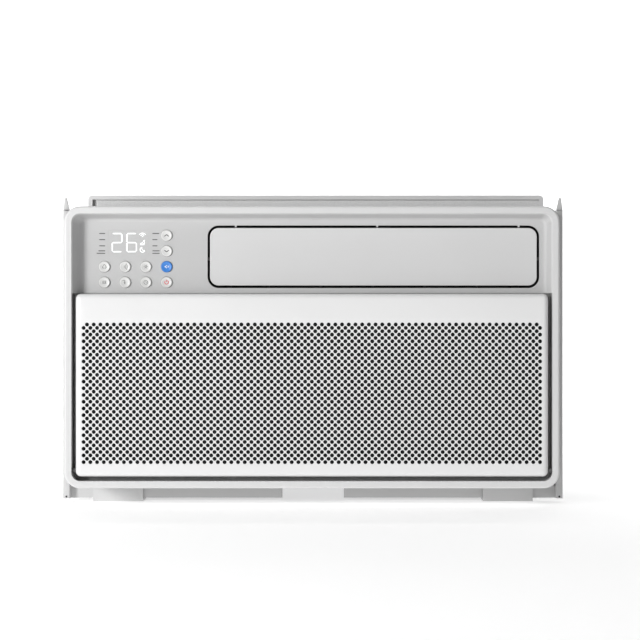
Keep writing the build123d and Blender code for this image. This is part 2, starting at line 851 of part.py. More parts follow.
with BuildPart() as rear_grille:
    with BuildSketch(at_depth(y_back - rear_grille_depth)):
        cabinet_outline(sheet)
    extrude(amount=-rear_grille_depth)
    with BuildSketch(at_depth(y_back - rear_grille_depth)):
        cabinet_outline(sheet + grille_plate)
    extrude(amount=-(rear_grille_depth - grille_plate), mode=Mode.SUBTRACT)
    with BuildSketch(at_depth(y_back - grille_plate - 1)):
        with Locations((0, (z_pan + grille_top) / 2)):
            with GridLocations(
                grille_slot_width + grille_rib, grille_slot_pitch, grille_columns, grille_rows
            ):
                Rectangle(grille_slot_width, grille_slot_pitch * grille_open)
    extrude(amount=-(grille_plate + 2), mode=Mode.SUBTRACT)
save(rear_grille, "rear_grille")

shaft_hole_radius = 20.0
pipe_hole_gap = 1.5
pipe_from_coil = 8.0
suction_below_top = 22.0
capillary_above_pan = 6.0
suction_x = -coil_half - coil_end_plate - pipe_from_coil
suction_z = z_evaporator_top - suction_below_top
capillary_z = z_pan + pan_edge + capillary_above_pan
with BuildPart() as bulkhead:
    with BuildSketch(at_depth(y_bulkhead)):
        cabinet_outline(sheet)
    extrude(amount=-bulkhead_thick)
    block(
        (-inside_half, y_bulkhead - 1, z_pan - 1),
        (inside_half, y_bulkhead + bulkhead_thick + 1, z_pan_top),
        Mode.SUBTRACT,
    )
    # clears the base pan's edges, and lets the shaft and the pipes through
    for side in (-1, 1):
        block(
            (side * (inside_half - pan_sheet / 2) - pan_sheet, y_bulkhead - 1, z_pan_top - 1),
            (
                side * (inside_half - pan_sheet / 2) + pan_sheet,
                y_bulkhead + bulkhead_thick + 1,
                z_pan + pan_edge,
            ),
            Mode.SUBTRACT,
        )
    rod(
        (shaft_x, y_bulkhead - 1, shaft_z),
        (shaft_x, y_bulkhead + bulkhead_thick + 1, shaft_z),
        shaft_hole_radius,
        Mode.SUBTRACT,
    )
    for z in (suction_z, capillary_z):
        rod(
            (suction_x, y_bulkhead - 1, z),
            (suction_x, y_bulkhead + bulkhead_thick + 1, z),
            pipe_radius + pipe_hole_gap,
            Mode.SUBTRACT,
        )
save(bulkhead, "bulkhead")

# ---- blower housing, wheel, motor, shaft and fan ----------------------------------------------
inlet_in_wheel = 14.0
inlet_radius = wheel_radius - inlet_in_wheel
scroll_shaft_radius = 12.0
scroll_foot_x = 60.0
scroll_foot_half = 10.0
scroll_foot_height = 20.0


def scroll_profile(shrink):
    """The housing's outline, or its air space when shrink is the wall."""
    with Locations((shaft_x, shaft_z)):
        Circle(scroll_radius - shrink)
    with Locations(
        ((scroll_mouth_left + scroll_mouth_right) / 2, (shaft_z + z_duct_under + shrink) / 2)
    ):
        Rectangle(
            scroll_mouth_right - scroll_mouth_left - 2 * shrink, z_duct_under + shrink - shaft_z
        )


with BuildPart() as blower_scroll:
    with BuildSketch(at_depth(y_scroll)):
        scroll_profile(0)
    extrude(amount=-scroll_depth)
    with BuildSketch(at_depth(y_scroll + scroll_wall)):
        scroll_profile(scroll_wall)
    extrude(amount=-(scroll_depth - 2 * scroll_wall), mode=Mode.SUBTRACT)
    rod(
        (shaft_x, y_scroll - 1, shaft_z),
        (shaft_x, y_scroll + scroll_wall + 1, shaft_z),
        inlet_radius,
        Mode.SUBTRACT,
    )
    rod(
        (shaft_x, y_scroll_back - scroll_wall - 1, shaft_z),
        (shaft_x, y_scroll_back + 1, shaft_z),
        scroll_shaft_radius,
        Mode.SUBTRACT,
    )
    # feet on the base pan
    for x in (shaft_x - scroll_foot_x, shaft_x + scroll_foot_x):
        block(
            (x - scroll_foot_half, y_scroll, z_pan_top),
            (x + scroll_foot_half, y_scroll_back, z_pan_top + scroll_foot_height),
        )
    with BuildSketch(at_depth(y_scroll + scroll_wall)):
        with Locations((shaft_x, shaft_z)):
            Circle(scroll_radius - scroll_wall)
    extrude(amount=-(scroll_depth - 2 * scroll_wall), mode=Mode.SUBTRACT)
save(blower_scroll, "blower_scroll")

y_wheel = y_scroll + (scroll_depth - wheel_depth) / 2
y_wheel_back = y_wheel + wheel_depth
wheel_disc = 2.0
wheel_ring = 3.0
wheel_hub_depth = 50.0
wheel_hub_radius = 12.0
blade_count = 30
blade_width = 12.0
wheel_blade_thick = 1.2
wheel_blade_lean = 25
with BuildPart() as blower_wheel:
    rod(
        (shaft_x, y_wheel_back - wheel_disc, shaft_z),
        (shaft_x, y_wheel_back, shaft_z),
        wheel_radius,
    )
    rod((shaft_x, y_wheel, shaft_z), (shaft_x, y_wheel + wheel_ring, shaft_z), wheel_radius)
    rod(
        (shaft_x, y_wheel - 1, shaft_z),
        (shaft_x, y_wheel + wheel_ring + 1, shaft_z),
        wheel_radius - blade_width,
        Mode.SUBTRACT,
    )
    rod(
        (shaft_x, y_wheel_back - wheel_hub_depth, shaft_z),
        (shaft_x, y_wheel_back, shaft_z),
        wheel_hub_radius,
    )
    with BuildSketch(at_depth(y_wheel)):
        with Locations((shaft_x, shaft_z)):
            with PolarLocations(wheel_radius - blade_width / 2, blade_count):
                Rectangle(blade_width - 1, wheel_blade_thick, rotation=wheel_blade_lean)
    extrude(amount=-(wheel_depth - 1))
    rod(
        (shaft_x, y_wheel, shaft_z),
        (shaft_x, y_wheel_back + 1, shaft_z),
        shaft_radius,
        Mode.SUBTRACT,
    )
save(blower_wheel, "blower_wheel")

motor_edge = 8.0
motor_boss = 6.0
motor_boss_radius = 12.0
with BuildPart() as fan_motor:
    rod((shaft_x, y_motor, shaft_z), (shaft_x, y_motor + motor_length, shaft_z), motor_radius)
    fillet(fan_motor.edges(), motor_edge)
    rod(
        (shaft_x, y_motor - motor_boss, shaft_z),
        (shaft_x, y_motor + motor_length + motor_boss, shaft_z),
        motor_boss_radius,
    )
    rod(
        (shaft_x, y_motor - motor_boss - 1, shaft_z),
        (shaft_x, y_motor + motor_length + motor_boss + 1, shaft_z),
        shaft_radius + shaft_fit,
        Mode.SUBTRACT,
    )
save(fan_motor, "fan_motor")

cradle_in = 15.0
cradle_thick = 10.0
cradle_half = 40.0
bracket_half = 55.0
bracket_in = 5.0
bracket_sheet = 2.0
with BuildPart() as motor_bracket:
    for y in (y_motor + cradle_in, y_motor + motor_length - cradle_in - cradle_thick):
        block(
            (shaft_x - cradle_half, y, z_pan_top), (shaft_x + cradle_half, y + cradle_thick, shaft_z)
        )
    block(
        (shaft_x - bracket_half, y_motor + bracket_in, z_pan_top),
        (shaft_x + bracket_half, y_motor + motor_length - bracket_in, z_pan_top + bracket_sheet),
    )
    rod(
        (shaft_x, y_motor, shaft_z),
        (shaft_x, y_motor + motor_length, shaft_z),
        motor_radius,
        Mode.SUBTRACT,
    )
save(motor_bracket, "motor_bracket")

with BuildPart() as fan_shaft:
    rod((shaft_x, y_wheel + 20, shaft_z), (shaft_x, y_fan + fan_depth + 4, shaft_z), shaft_radius)
save(fan_shaft, "fan_shaft")

fan_blades = 5
fan_hub = 22.0
blade_chord = 62.0
blade_thick = 2.0
blade_pitch = 22.0
blade_in = 5.0
with BuildPart() as condenser_fan:
    rod((shaft_x, y_fan, shaft_z), (shaft_x, y_fan + fan_depth, shaft_z), fan_hub)
    with Locations(Plane(origin=(shaft_x, y_fan + fan_depth / 2, shaft_z), z_dir=(0, -1, 0))):
        with PolarLocations((fan_radius + fan_hub) / 2 - blade_in, fan_blades):
            Box(fan_radius - fan_hub, blade_chord, blade_thick, rotation=(blade_pitch, 0, 0))
    rod(
        (shaft_x, y_fan - 1, shaft_z),
        (shaft_x, y_fan + fan_depth + 1, shaft_z),
        shaft_radius,
        Mode.SUBTRACT,
    )
save(condenser_fan, "condenser_fan")

with BuildPart() as fan_shroud:
    block((-coil_half, y_shroud, z_pan_top), (coil_half, y_condenser, z_condenser_top))
    rod(
        (shaft_x, y_shroud - shroud_ring, shaft_z),
        (shaft_x, y_condenser, shaft_z),
        fan_radius + fan_gap + shroud_thick,
    )
    rod(
        (shaft_x, y_shroud - shroud_ring - 1, shaft_z),
        (shaft_x, y_condenser + 1, shaft_z),
        fan_radius + fan_gap,
        Mode.SUBTRACT,
    )
save(fan_shroud, "fan_shroud")

# ---- coils -------------------------------------------------------------------------------------


def coil(name, y_start, z_top):
    with BuildPart() as core:
        block((-coil_half, y_start, z_pan_top), (coil_half, y_start + coil_depth, z_top))
        for side in (-1, 1):
            x = side * (coil_half + coil_end_plate / 2)
            block(
                (x - coil_end_plate / 2, y_start, z_pan_top),
                (x + coil_end_plate / 2, y_start + coil_depth, z_top + 2),
            )
    save(core, name)


coil("evaporator_coil", y_evaporator, z_evaporator_top)
coil("condenser_coil", y_condenser, z_condenser_top)

bend_radius = 9.0
bend_tube = 3.5
bend_pitch = 38.0
bend_rows = 4
bend_low = z_pan + pan_edge + 28.0
bend_end = -coil_half - coil_end_plate
with BuildPart() as coil_bends:
    for y in (y_evaporator + coil_depth / 2, y_condenser + coil_depth / 2):
        for row in range(bend_rows):
            centre = Vector(bend_end, y, bend_low + row * bend_pitch)
            with BuildSketch(Plane(origin=centre, x_dir=(0, 1, 0), z_dir=(-1, 0, 0))):
                with Locations((0, bend_radius)):
                    Circle(bend_tube)
            revolve(axis=Axis(centre, (0, 1, 0)), revolution_arc=180)
save(coil_bends, "coil_bends")

# ---- compressor, its feet, accumulator and pipes --------------------------------------------------
z_compressor_top = z_cabinet_top - compressor_headroom
accumulator_radius = 20.0
accumulator_gap = 3.0
accumulator_forward = 45.0
accumulator_lift = 40.0
accumulator_below_pipe = 19.7  # from the suction pipe's long runs
accumulator_x = compressor_x + compressor_radius + accumulator_radius + accumulator_gap
accumulator_y = compressor_y - accumulator_forward
accumulator_low = z_pan_top + accumulator_lift
accumulator_top = suction_z - accumulator_below_pipe
feet_radius = 9.0
feet_ring = compressor_radius + 8.0
feet_in = 2.0
plate_corner = 12.0
plate_thick = 4.0
dome_round = 22.0
accumulator_round = 12.0
strap_from_middle = 11.0
strap_thick = 3.0
strap_height = 15.0
strap_low = (accumulator_low + accumulator_top - strap_height) / 2

with BuildPart() as compressor:
    rod(
        (compressor_x, compressor_y, z_compressor),
        (compressor_x, compressor_y, z_compressor_top),
        compressor_radius,
    )
    fillet(compressor.edges(), dome_round)
    with BuildSketch(Plane.XY.offset(z_compressor)):
        with Locations((compressor_x, compressor_y)):
            RectangleRounded(2 * feet_ring, 2 * feet_ring, plate_corner)
    extrude(amount=plate_thick)
save(compressor, "compressor")

with BuildPart() as compressor_feet:
    for dx in (-1, 1):
        for dy in (-1, 1):
            x = compressor_x + dx * (feet_ring - feet_radius - feet_in)
            y = compressor_y + dy * (feet_ring - feet_radius - feet_in)
            rod((x, y, z_pan_top), (x, y, z_compressor), feet_radius)
save(compressor_feet, "compressor_feet")

with BuildPart() as accumulator:
    rod(
        (accumulator_x, accumulator_y, accumulator_low),
        (accumulator_x, accumulator_y, accumulator_top),
        accumulator_radius,
    )
    fillet(accumulator.edges(), accumulator_round)
    # strap to the compressor
    strap_y = accumulator_y + strap_from_middle
    strap_x = compressor_x + math.sqrt(compressor_radius**2 - (strap_y - compressor_y) ** 2)
    block(
        (strap_x, strap_y - strap_thick, strap_low),
        (accumulator_x, strap_y, strap_low + strap_height),
    )
save(accumulator, "accumulator")

pipe_bend = pipe_radius + 1.5
capillary_bend = 5.0
pipe_from_end = 8.0  # from a coil's face to the pipe that joins it
y_behind_bulkhead = y_bulkhead + 30.0
with BuildPart() as suction_pipe:
    pipe(
        [
            (bend_end, y_evaporator + coil_depth - pipe_from_end, suction_z),
            (suction_x, y_evaporator + coil_depth - pipe_from_end, suction_z),
            (suction_x, y_behind_bulkhead, suction_z),
            (accumulator_x, y_behind_bulkhead, suction_z),
            (accumulator_x, accumulator_y, suction_z),
            (accumulator_x, accumulator_y, accumulator_top),
        ],
        pipe_radius,
        pipe_bend,
    )
save(suction_pipe, "suction_pipe")

discharge_z = z_cabinet_top - 22.0
joint_z = z_condenser_top - 30.0
with BuildPart() as discharge_pipe:
    pipe(
        [
            (compressor_x, compressor_y, z_compressor_top),
            (compressor_x, compressor_y, discharge_z),
            (suction_x, compressor_y, discharge_z),
            (suction_x, y_condenser + coil_depth / 2, discharge_z),
            (suction_x, y_condenser + coil_depth / 2, joint_z),
            (bend_end, y_condenser + coil_depth / 2, joint_z),
        ],
        pipe_radius,
        pipe_bend,
    )
save(discharge_pipe, "discharge_pipe")

with BuildPart() as capillary_tube:
    pipe(
        [
            (bend_end, y_condenser + pipe_from_end, capillary_z),
            (suction_x, y_condenser + pipe_from_end, capillary_z),
            (suction_x, y_evaporator + pipe_from_end, capillary_z),
            (bend_end, y_evaporator + pipe_from_end, capillary_z),
        ],
        capillary_radius,
        capillary_bend,
    )
save(capillary_tube, "capillary_tube")

# ---- electrical box --------------------------------------------------------------------------------
box_width = 130.0
box_depth = 80.0
box_height = 170.0
box_edge = 3.0
box_left = -coil_half
box_low = outlet_bottom - 120.0
with BuildPart() as control_box:
    block(
        (box_left, y_bulkhead - box_depth, box_low),
        (box_left + box_width, y_bulkhead, box_low + box_height),
    )
    fillet(control_box.edges().filter_by(Axis.Y), box_edge)
save(control_box, "control_box")

# ---- shutters ----------------------------------------------------------------------------------------
tab_thick = 3.0
shutter_inner = shutter_half - shutter_member


def across(side, near, far):
    """The X range between two distances from the middle, on one side of it."""
    return sorted((side * near, side * far))


for name, side in (("left", -1), ("right", 1)):
    with BuildPart() as shutter:
        x0, x1 = across(side, shutter_inner, shutter_half)
        block((x0, y_shutter, z_arm), (x1, y_shutter + shutter_depth, z_front_top))
        block((x0, y_shutter, z_front_top - 1), (x1, y_shutter + tab_thick, z_front_top + shutter_tab))
        x0, x1 = across(side, arm_start, shutter_inner + 1)
        block((x0, y_arm, z_arm), (x1, y_arm + arm_depth, z_arm + arm_height))
        block((x0, y_arm, z_top_arm), (x1, y_arm + arm_depth, z_top_arm + top_arm_height))
    save(shutter, f"{name}_shutter")

    with BuildPart() as curtain:
        x0, x1 = across(side, cabinet_half + channel_wide, shutter_inner)
        block((x0, y_arm, z_curtain), (x1, y_arm + arm_depth, z_curtain_top))
    save(curtain, f"{name}_curtain")

with BuildPart() as curtain_channels:
    for side in (-1, 1):
        x0, x1 = across(side, cabinet_half, cabinet_half + channel_wide)
        block(
            (x0, y_arm - channel_past_curtain, z_pan),
            (x1, y_arm + arm_depth + channel_past_curtain, z_curtain_top),
        )
save(curtain_channels, "curtain_channels")

# ---- top rail with its foam seal, and sill brackets ----------------------------------------------------
notch_half = 8.0
with BuildPart() as top_rail:
    with BuildSketch(at_depth(y_shutter)):
        with Locations((rail_shift, z_cabinet_top + rail_height / 2)):
            RectangleRounded(2 * rail_half, rail_height, rail_corner)
    extrude(amount=-rail_depth)
    with BuildSketch(at_depth(y_shutter + rail_wall)):
        with Locations((rail_shift, z_cabinet_top + rail_height / 2)):
            Rectangle(2 * rail_half - 2 * rail_wall, rail_height - 2 * rail_wall)
    extrude(amount=-(rail_depth - 2 * rail_wall), mode=Mode.SUBTRACT)
    # open front, with a lip all round it
    with BuildSketch(at_depth(y_shutter - 1)):
        with Locations((rail_shift, z_cabinet_top + rail_height / 2)):
            Rectangle(2 * rail_half - 2 * rail_lip, rail_height - 2 * rail_lip)
    extrude(amount=-(rail_wall + 2), mode=Mode.SUBTRACT)
    # notches in the ends for the shutters' arms
    for side in (-1, 1):
        x0, x1 = across(side, rail_half - rail_lip, rail_half + 1)
        block(
            (x0 + rail_shift, y_arm - arm_gap, z_top_arm - arm_gap),
            (x1 + rail_shift, y_arm + arm_depth + arm_gap, z_top_arm + top_arm_height + arm_gap),
            Mode.SUBTRACT,
        )
    # the lower lip is left out at the screws
    for i in (-1, 0, 1):
        block(
            (i * rail_screw_pitch - notch_half, y_shutter - 1, z_cabinet_top + rail_wall),
            (i * rail_screw_pitch + notch_half, y_shutter + rail_wall + 1, z_cabinet_top + rail_lip + 1),
            Mode.SUBTRACT,
        )
        rod(
            (i * rail_screw_pitch, screw_y, z_cabinet_top - 1),
            (i * rail_screw_pitch, screw_y, z_cabinet_top + rail_wall + 1),
            screw_radius,
            Mode.SUBTRACT,
        )
save(top_rail, "top_rail")

with BuildPart() as top_rail_seal:
    block(
        (rail_shift - rail_half + rail_wall, y_arm, z_top_arm + top_arm_height + 2 * arm_gap),
        (
            rail_shift + rail_half - rail_wall,
            y_shutter + rail_depth - rail_wall,
            z_rail_top - rail_wall,
        ),
    )
save(top_rail_seal, "top_rail_seal")

with BuildPart() as cabinet_screws:
    for i in (-1, 0, 1):
        x = i * rail_screw_pitch
        z = z_cabinet_top + rail_wall
        rod((x, screw_y, z_cabinet_top - sheet - plastic - 0.3), (x, screw_y, z + 0.5), screw_radius)
        rod((x, screw_y, z), (x, screw_y, z + screw_head), screw_head_radius)
save(cabinet_screws, "cabinet_screws")

bracket_front = y_arm - arm_gap - bracket_wall
bracket_back = y_arm + arm_depth + arm_gap + bracket_wall
with BuildPart() as sill_brackets:
    for side in (-1, 1):
        x0, x1 = across(side, bracket_start, bracket_start + bracket_width)
        block((x0, bracket_front, 0), (x1, bracket_back, z_pan))
        block(
            (x0 - 1, y_arm - arm_gap, bracket_wall),
            (x1 + 1, y_arm + arm_depth + arm_gap, z_pan - bracket_wall / 2),
            Mode.SUBTRACT,
        )
        block((x0, bracket_back - 1, 0), (x1, bracket_back + bracket_foot, bracket_wall))
        for dx in (-1, 1):
            x = (x0 + x1) / 2 + dx * bracket_screw_pitch / 2
            y = bracket_back + bracket_foot / 2
            rod((x, y, -1), (x, y, bracket_wall + 1), bracket_screw_radius, Mode.SUBTRACT)
save(sill_brackets, "sill_brackets")

# ---- cord grommet and drain plug --------------------------------------------------------------------------
grommet_flange = 3.0
grommet_thick = 1.2
grommet_bore = 4.0
with BuildPart() as cord_grommet:
    side_x = front_width / 2
    rod((side_x - plastic, cord_y, cord_z), (side_x, cord_y, cord_z), cord_hole_radius)
    for x in (side_x, side_x - plastic - grommet_thick):
        rod(
            (x, cord_y, cord_z), (x + grommet_thick, cord_y, cord_z), cord_hole_radius + grommet_flange
        )
    rod(
        (side_x - plastic - grommet_thick - 1, cord_y, cord_z),
        (side_x + grommet_thick + 1, cord_y, cord_z),
        grommet_bore,
        Mode.SUBTRACT,
    )
save(cord_grommet, "cord_grommet")

with BuildPart() as drain_plug:
    rod((drain_x, drain_y, z_pan - 5), (drain_x, drain_y, z_pan), drain_radius + 3)
    rod((drain_x, drain_y, z_pan), (drain_x, drain_y, z_pan_top), drain_radius)
save(drain_plug, "drain_plug")
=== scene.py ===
import math

import bpy
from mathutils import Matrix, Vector


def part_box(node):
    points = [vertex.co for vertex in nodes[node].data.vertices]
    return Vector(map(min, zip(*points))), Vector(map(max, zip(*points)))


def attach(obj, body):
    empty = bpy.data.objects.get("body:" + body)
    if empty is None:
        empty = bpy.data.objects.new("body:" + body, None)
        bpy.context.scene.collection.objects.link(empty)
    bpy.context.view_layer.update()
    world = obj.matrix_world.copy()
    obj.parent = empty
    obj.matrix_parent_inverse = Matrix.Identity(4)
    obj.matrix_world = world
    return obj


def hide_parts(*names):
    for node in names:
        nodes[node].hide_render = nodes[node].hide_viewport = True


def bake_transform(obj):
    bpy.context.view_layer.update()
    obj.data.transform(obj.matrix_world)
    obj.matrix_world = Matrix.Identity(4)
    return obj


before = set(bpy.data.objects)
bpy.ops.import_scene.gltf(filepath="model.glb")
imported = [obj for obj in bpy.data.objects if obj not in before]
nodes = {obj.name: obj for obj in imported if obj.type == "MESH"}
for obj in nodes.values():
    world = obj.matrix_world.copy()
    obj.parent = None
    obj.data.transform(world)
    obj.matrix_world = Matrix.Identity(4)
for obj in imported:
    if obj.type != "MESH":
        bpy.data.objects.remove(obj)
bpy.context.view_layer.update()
mm = 0.001

# ---- Camera --------------------------------------------------------------------------
# Level with the middle of the front and square to it, and far enough away that the
# border hides most of what is behind it.
border_low, border_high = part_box("front_frame")
eye_below_top = 128.7 * mm
view_height = border_high.z - eye_below_top
view_distance = 2.4
view_width = 723.1 * mm
view_middle = 9.2 * mm  # to the right of the object's middle
camera_right = 35 * mm
sensor_width = 36
camera_data = bpy.data.cameras.new("camera")
camera_data.sensor_width = sensor_width
camera_data.lens = sensor_width * view_distance / view_width
camera_data.shift_x = (view_middle - camera_right) / view_width
camera = bpy.data.objects.new("camera", camera_data)
camera.location = (camera_right, border_low.y - view_distance, view_height)
camera.rotation_euler = (math.radians(90), 0, 0)
bpy.context.scene.collection.objects.link(camera)
bpy.context.scene.camera = camera
bpy.context.scene.view_settings.view_transform = "Standard"

# ---- Light ---------------------------------------------------------------------------
# A soft key from the left, a wide weak light from above, one more on the sweep behind the
# object, and a dim even surround.


def area_light(name, place, aim, size, power):
    light = bpy.data.lights.new(name, "AREA")
    light.shape = "DISK"
    light.size = size
    light.energy = power
    lamp = bpy.data.objects.new(name, light)
    lamp.location = place
    lamp.rotation_euler = (Vector(aim) - Vector(place)).to_track_quat("-Z", "Y").to_euler()
    bpy.context.scene.collection.objects.link(lamp)


middle = (0, border_low.y, view_height)
area_light("key", (-2.0, -2.4, 0.7), middle, 0.8, 62)
area_light("top", (0, -0.3, 2.6), (0, -0.3, 0), 2.0, 7)
area_light("sweep", (0, 0.9, 2.4), (0, 3.2, 0.8), 2.0, 60)
surround = bpy.data.worlds.new("surround")
surround.use_nodes = True
surround_shader = surround.node_tree.nodes["Background"]
surround_shader.inputs["Color"].default_value = (1, 1, 1, 1)
surround_shader.inputs["Strength"].default_value = 0.12
bpy.context.scene.world = surround


# ---- Front moulding ------------------------------------------------------------------
# One injection moulding in white ABS with a fine satin grain. It clips over the front of
# the cabinet and holds every other piece of the front.


class Value:
    """A socket of a material's nodes. Arithmetic on it adds Math nodes."""

    def __init__(self, build, socket):
        self.build = build
        self.socket = socket

    def math(self, operation, *others):
        values = dict(enumerate((self, *others)))
        return self.build.node("ShaderNodeMath", {"operation": operation}, values)

    def __add__(self, other):
        return self.math("ADD", other)

    def __sub__(self, other):
        return self.math("SUBTRACT", other)

    def __mul__(self, other):
        return self.math("MULTIPLY", other)

    def __rsub__(self, other):
        return self.build.node("ShaderNodeMath", {"operation": "SUBTRACT"}, {0: other, 1: self})

    __radd__ = __add__
    __rmul__ = __mul__


class Material:
    def __init__(self, name):
        self.data = bpy.data.materials.new(name)
        self.data.use_nodes = True
        self.tree = self.data.node_tree
        self.shader = self.tree.nodes["Principled BSDF"]
        self.place = self.node("ShaderNodeTexCoord", {}, {}, "Object")

    def node(self, kind, settings, values, output=0):
        node = self.tree.nodes.new(kind)
        for name, value in settings.items():
            setattr(node, name, value)
        self.join(node, values)
        return Value(self, node.outputs[output])

    def join(self, node, values):
        for name, value in values.items():
            if isinstance(value, Value):
                self.tree.links.new(value.socket, node.inputs[name])
            else:
                node.inputs[name].default_value = value

    def noise(self, scale, detail=2.0, stretch=(1, 1, 1)):
        """Soft noise with about scale blobs in a metre, stretched along the axes."""
        place = self.node("ShaderNodeMapping", {}, {"Vector": self.place, "Scale": stretch})
        return self.node(
            "ShaderNodeTexNoise", {}, {"Vector": place, "Scale": scale, "Detail": detail}
        )

    def mix(self, factor, first, second):
        """A colour between two colours."""
        node = self.tree.nodes.new("ShaderNodeMix")
        node.data_type = "RGBA"
        self.join(node, {0: factor, 6: first, 7: second})
        return Value(self, node.outputs[2])

    def bump(self, height, depth, strength=1.0):
        values = {"Height": height, "Distance": depth, "Strength": strength}
        return self.node("ShaderNodeBump", {}, values)

    def finish(self, **values):
        self.join(self.shader, {name.replace("_", " "): value for name, value in values.items()})
        return self.data


def moulded(name, colour, roughness=0.42, grain=0.00006, coat=0.0):
    """Moulded plastic: a fine spark-eroded grain, with slow changes of shade and gloss."""
    material = Material(name)
    slow = material.noise(9, 3)
    fine = material.noise(2600, 2)
    darker = [c * 0.955 for c in colour]
    return material.finish(
        Base_Color=material.mix(slow, (*darker, 1), (*colour, 1)),
        Roughness=slow * 0.1 + fine * 0.06 + (roughness - 0.08),
        Coat_Weight=coat,
        Normal=material.bump(fine, grain, 0.35),
    )


def dress(material, *names):
    """Gives CAD nodes or new pieces a material all over."""
    for name in names:
        mesh = (nodes.get(name) or bpy.data.objects[name]).data
        mesh.materials.clear()
        mesh.materials.append(material)


# Over this depth behind the border's front, the matt finish and the recess's painted shade come in.
turn_deep = 4 * mm  # from the one finish to the other


def satin_border_shaded_recess(name, outside, inside, turn_y, half_width, low, high):
    """White ABS that is satin on the border and matt inside it, where it is textured. Inside the border the
    colour is greyer: painted shade in the recess.
    """
    material = Material(name)
    across, back, up = (
        material.node("ShaderNodeSeparateXYZ", {}, {"Vector": material.place}, axis) for axis in "XYZ"
    )
    within = across.math("ABSOLUTE").math("LESS_THAN", half_width)
    within = within * up.math("GREATER_THAN", low) * up.math("LESS_THAN", high)
    depth = ((back - turn_y) * (1 / turn_deep)).math("MINIMUM", 1.0).math("MAXIMUM", 0.0)
    mask = within * depth
    slow = material.noise(9, 3)
    fine = material.noise(2600, 2)
    # The mask turns the colour from the border's to the greyer painted shade of the recess.
    shade = mask.math("MULTIPLY_ADD", 0.96, slow * 0.04)
    return material.finish(
        Base_Color=material.mix(shade, (*outside, 1), (*inside, 1)),
        Roughness=mask * 0.16 + slow * 0.08 + fine * 0.06 + 0.34,
        Normal=material.bump(fine, 0.00006, 0.35),
    )


border_thick = 4 * mm
# The second colour is painted shade: the recess inside the border is coloured darker than the border.
dress(
    satin_border_shaded_recess(
        "white_moulding",
        (0.70, 0.70, 0.70),
        (0.52, 0.52, 0.52),
        border_low.y + 1.0 * mm,
        border_high.x - border_thick,
        border_low.z + border_thick,
        border_high.z - border_thick,
    ),
    "front_frame",
)

# ---- Intake panel --------------------------------------------------------------------
# A deep tray in the same plastic, punched all over with round holes in staggered rows, and
# turning on a pin at each lower corner. The filter clips into its back.


def start_primitive(kind, **options):
    """Adds a mesh primitive on its own, with nothing else selected, and returns it."""
    bpy.ops.object.select_all(action="DESELECT")
    getattr(bpy.ops.mesh, f"primitive_{kind}_add")(**options)
    return bpy.context.object


def place_in_mesh(piece):
    bpy.ops.object.transform_apply(location=True, rotation=True, scale=True)
    return piece


def solid_block(name, low, high):
    """A box between two corners, ready to be shaped."""
    middle = (Vector(low) + Vector(high)) / 2
    piece = start_primitive("cube", size=1, location=middle)
    piece.scale = Vector(high) - Vector(low)
    piece.name = name
    return place_in_mesh(piece)


def rod_between(name, start, end, radius, sides=24):
    """A round rod between two points, ready to be shaped."""
    along = Vector(end) - Vector(start)
    piece = start_primitive(
        "cylinder",
        vertices=sides,
        radius=radius,
        depth=along.length,
        location=(Vector(start) + Vector(end)) / 2,
        rotation=along.to_track_quat("Z", "Y").to_euler(),
    )
    piece.name = name
    return place_in_mesh(piece)


def shape(piece, kind, test):
    """Opens a piece in edit mode with only the parts of one kind selected that pass the test."""
    if bpy.context.mode != "OBJECT":
        bpy.ops.object.mode_set(mode="OBJECT")
    bpy.ops.object.select_all(action="DESELECT")
    piece.select_set(True)
    bpy.context.view_layer.objects.active = piece
    kinds = ("vertices", "edges", "polygons")
    bpy.context.tool_settings.mesh_select_mode = [kind == one for one in kinds]
    mesh = piece.data
    for one in kinds:
        parts = getattr(mesh, one)
        parts.foreach_set("select", [False] * len(parts))
    for part in getattr(mesh, kind):
        if kind == "edges":
            a, b = (mesh.vertices[i].co for i in part.vertices)
            part.select = bool(test(a, b))
        elif kind == "polygons":
            part.select = bool(test(part.center, part.normal))
        else:
            part.select = bool(test(part.co))
    bpy.ops.object.mode_set(mode="EDIT")


def close(piece):
    """Leaves edit mode."""
    bpy.ops.object.mode_set(mode="OBJECT")
    return piece


def join(first, *others):
    """Joins pieces into the first, which keeps its name."""
    bpy.ops.object.select_all(action="DESELECT")
    for piece in (first, *others):
        piece.select_set(True)
    bpy.context.view_layer.objects.active = first
    bpy.ops.object.join()
    return first


def modify(piece, kind, **settings):
    """Adds a modifier and applies it."""
    bpy.context.view_layer.objects.active = piece
    modifier = piece.modifiers.new(kind.lower(), kind)
    for name, value in settings.items():
        setattr(modifier, name, value)
    bpy.ops.object.modifier_apply(modifier=modifier.name)
    return piece


def soften(piece, angle=35):
    """Shades a piece smooth except across sharp edges."""
    bpy.ops.object.select_all(action="DESELECT")
    piece.select_set(True)
    bpy.context.view_layer.objects.active = piece
    bpy.ops.object.shade_smooth_by_angle(angle=math.radians(angle))
    return piece


hole_pitch = 7.58 * mm
hole_radius = 2.3 * mm
hole_sides = 12
hole_rows = 42
holes_in_row = 69
field_middle = 107.5 * mm  # above the border's lower edge
panel_wall = 1.8 * mm
pin_out = 7.85 * mm
pin_radius = 2.5 * mm
pin_inset = 7 * mm  # from the tray's lower edge and from its face
panel_corner = 6 * mm
panel_edge = 5.4 * mm
panel_low, panel_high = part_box("intake_grille")
face_y = panel_low.y
on_face = face_y + 0.01 * mm
pin_z = panel_low.z + pin_inset
pin_y = face_y + pin_inset
tray_low = Vector((panel_low.x + pin_out, face_y, panel_low.z))
tray_high = Vector((panel_high.x - pin_out, panel_high.y, panel_high.z))

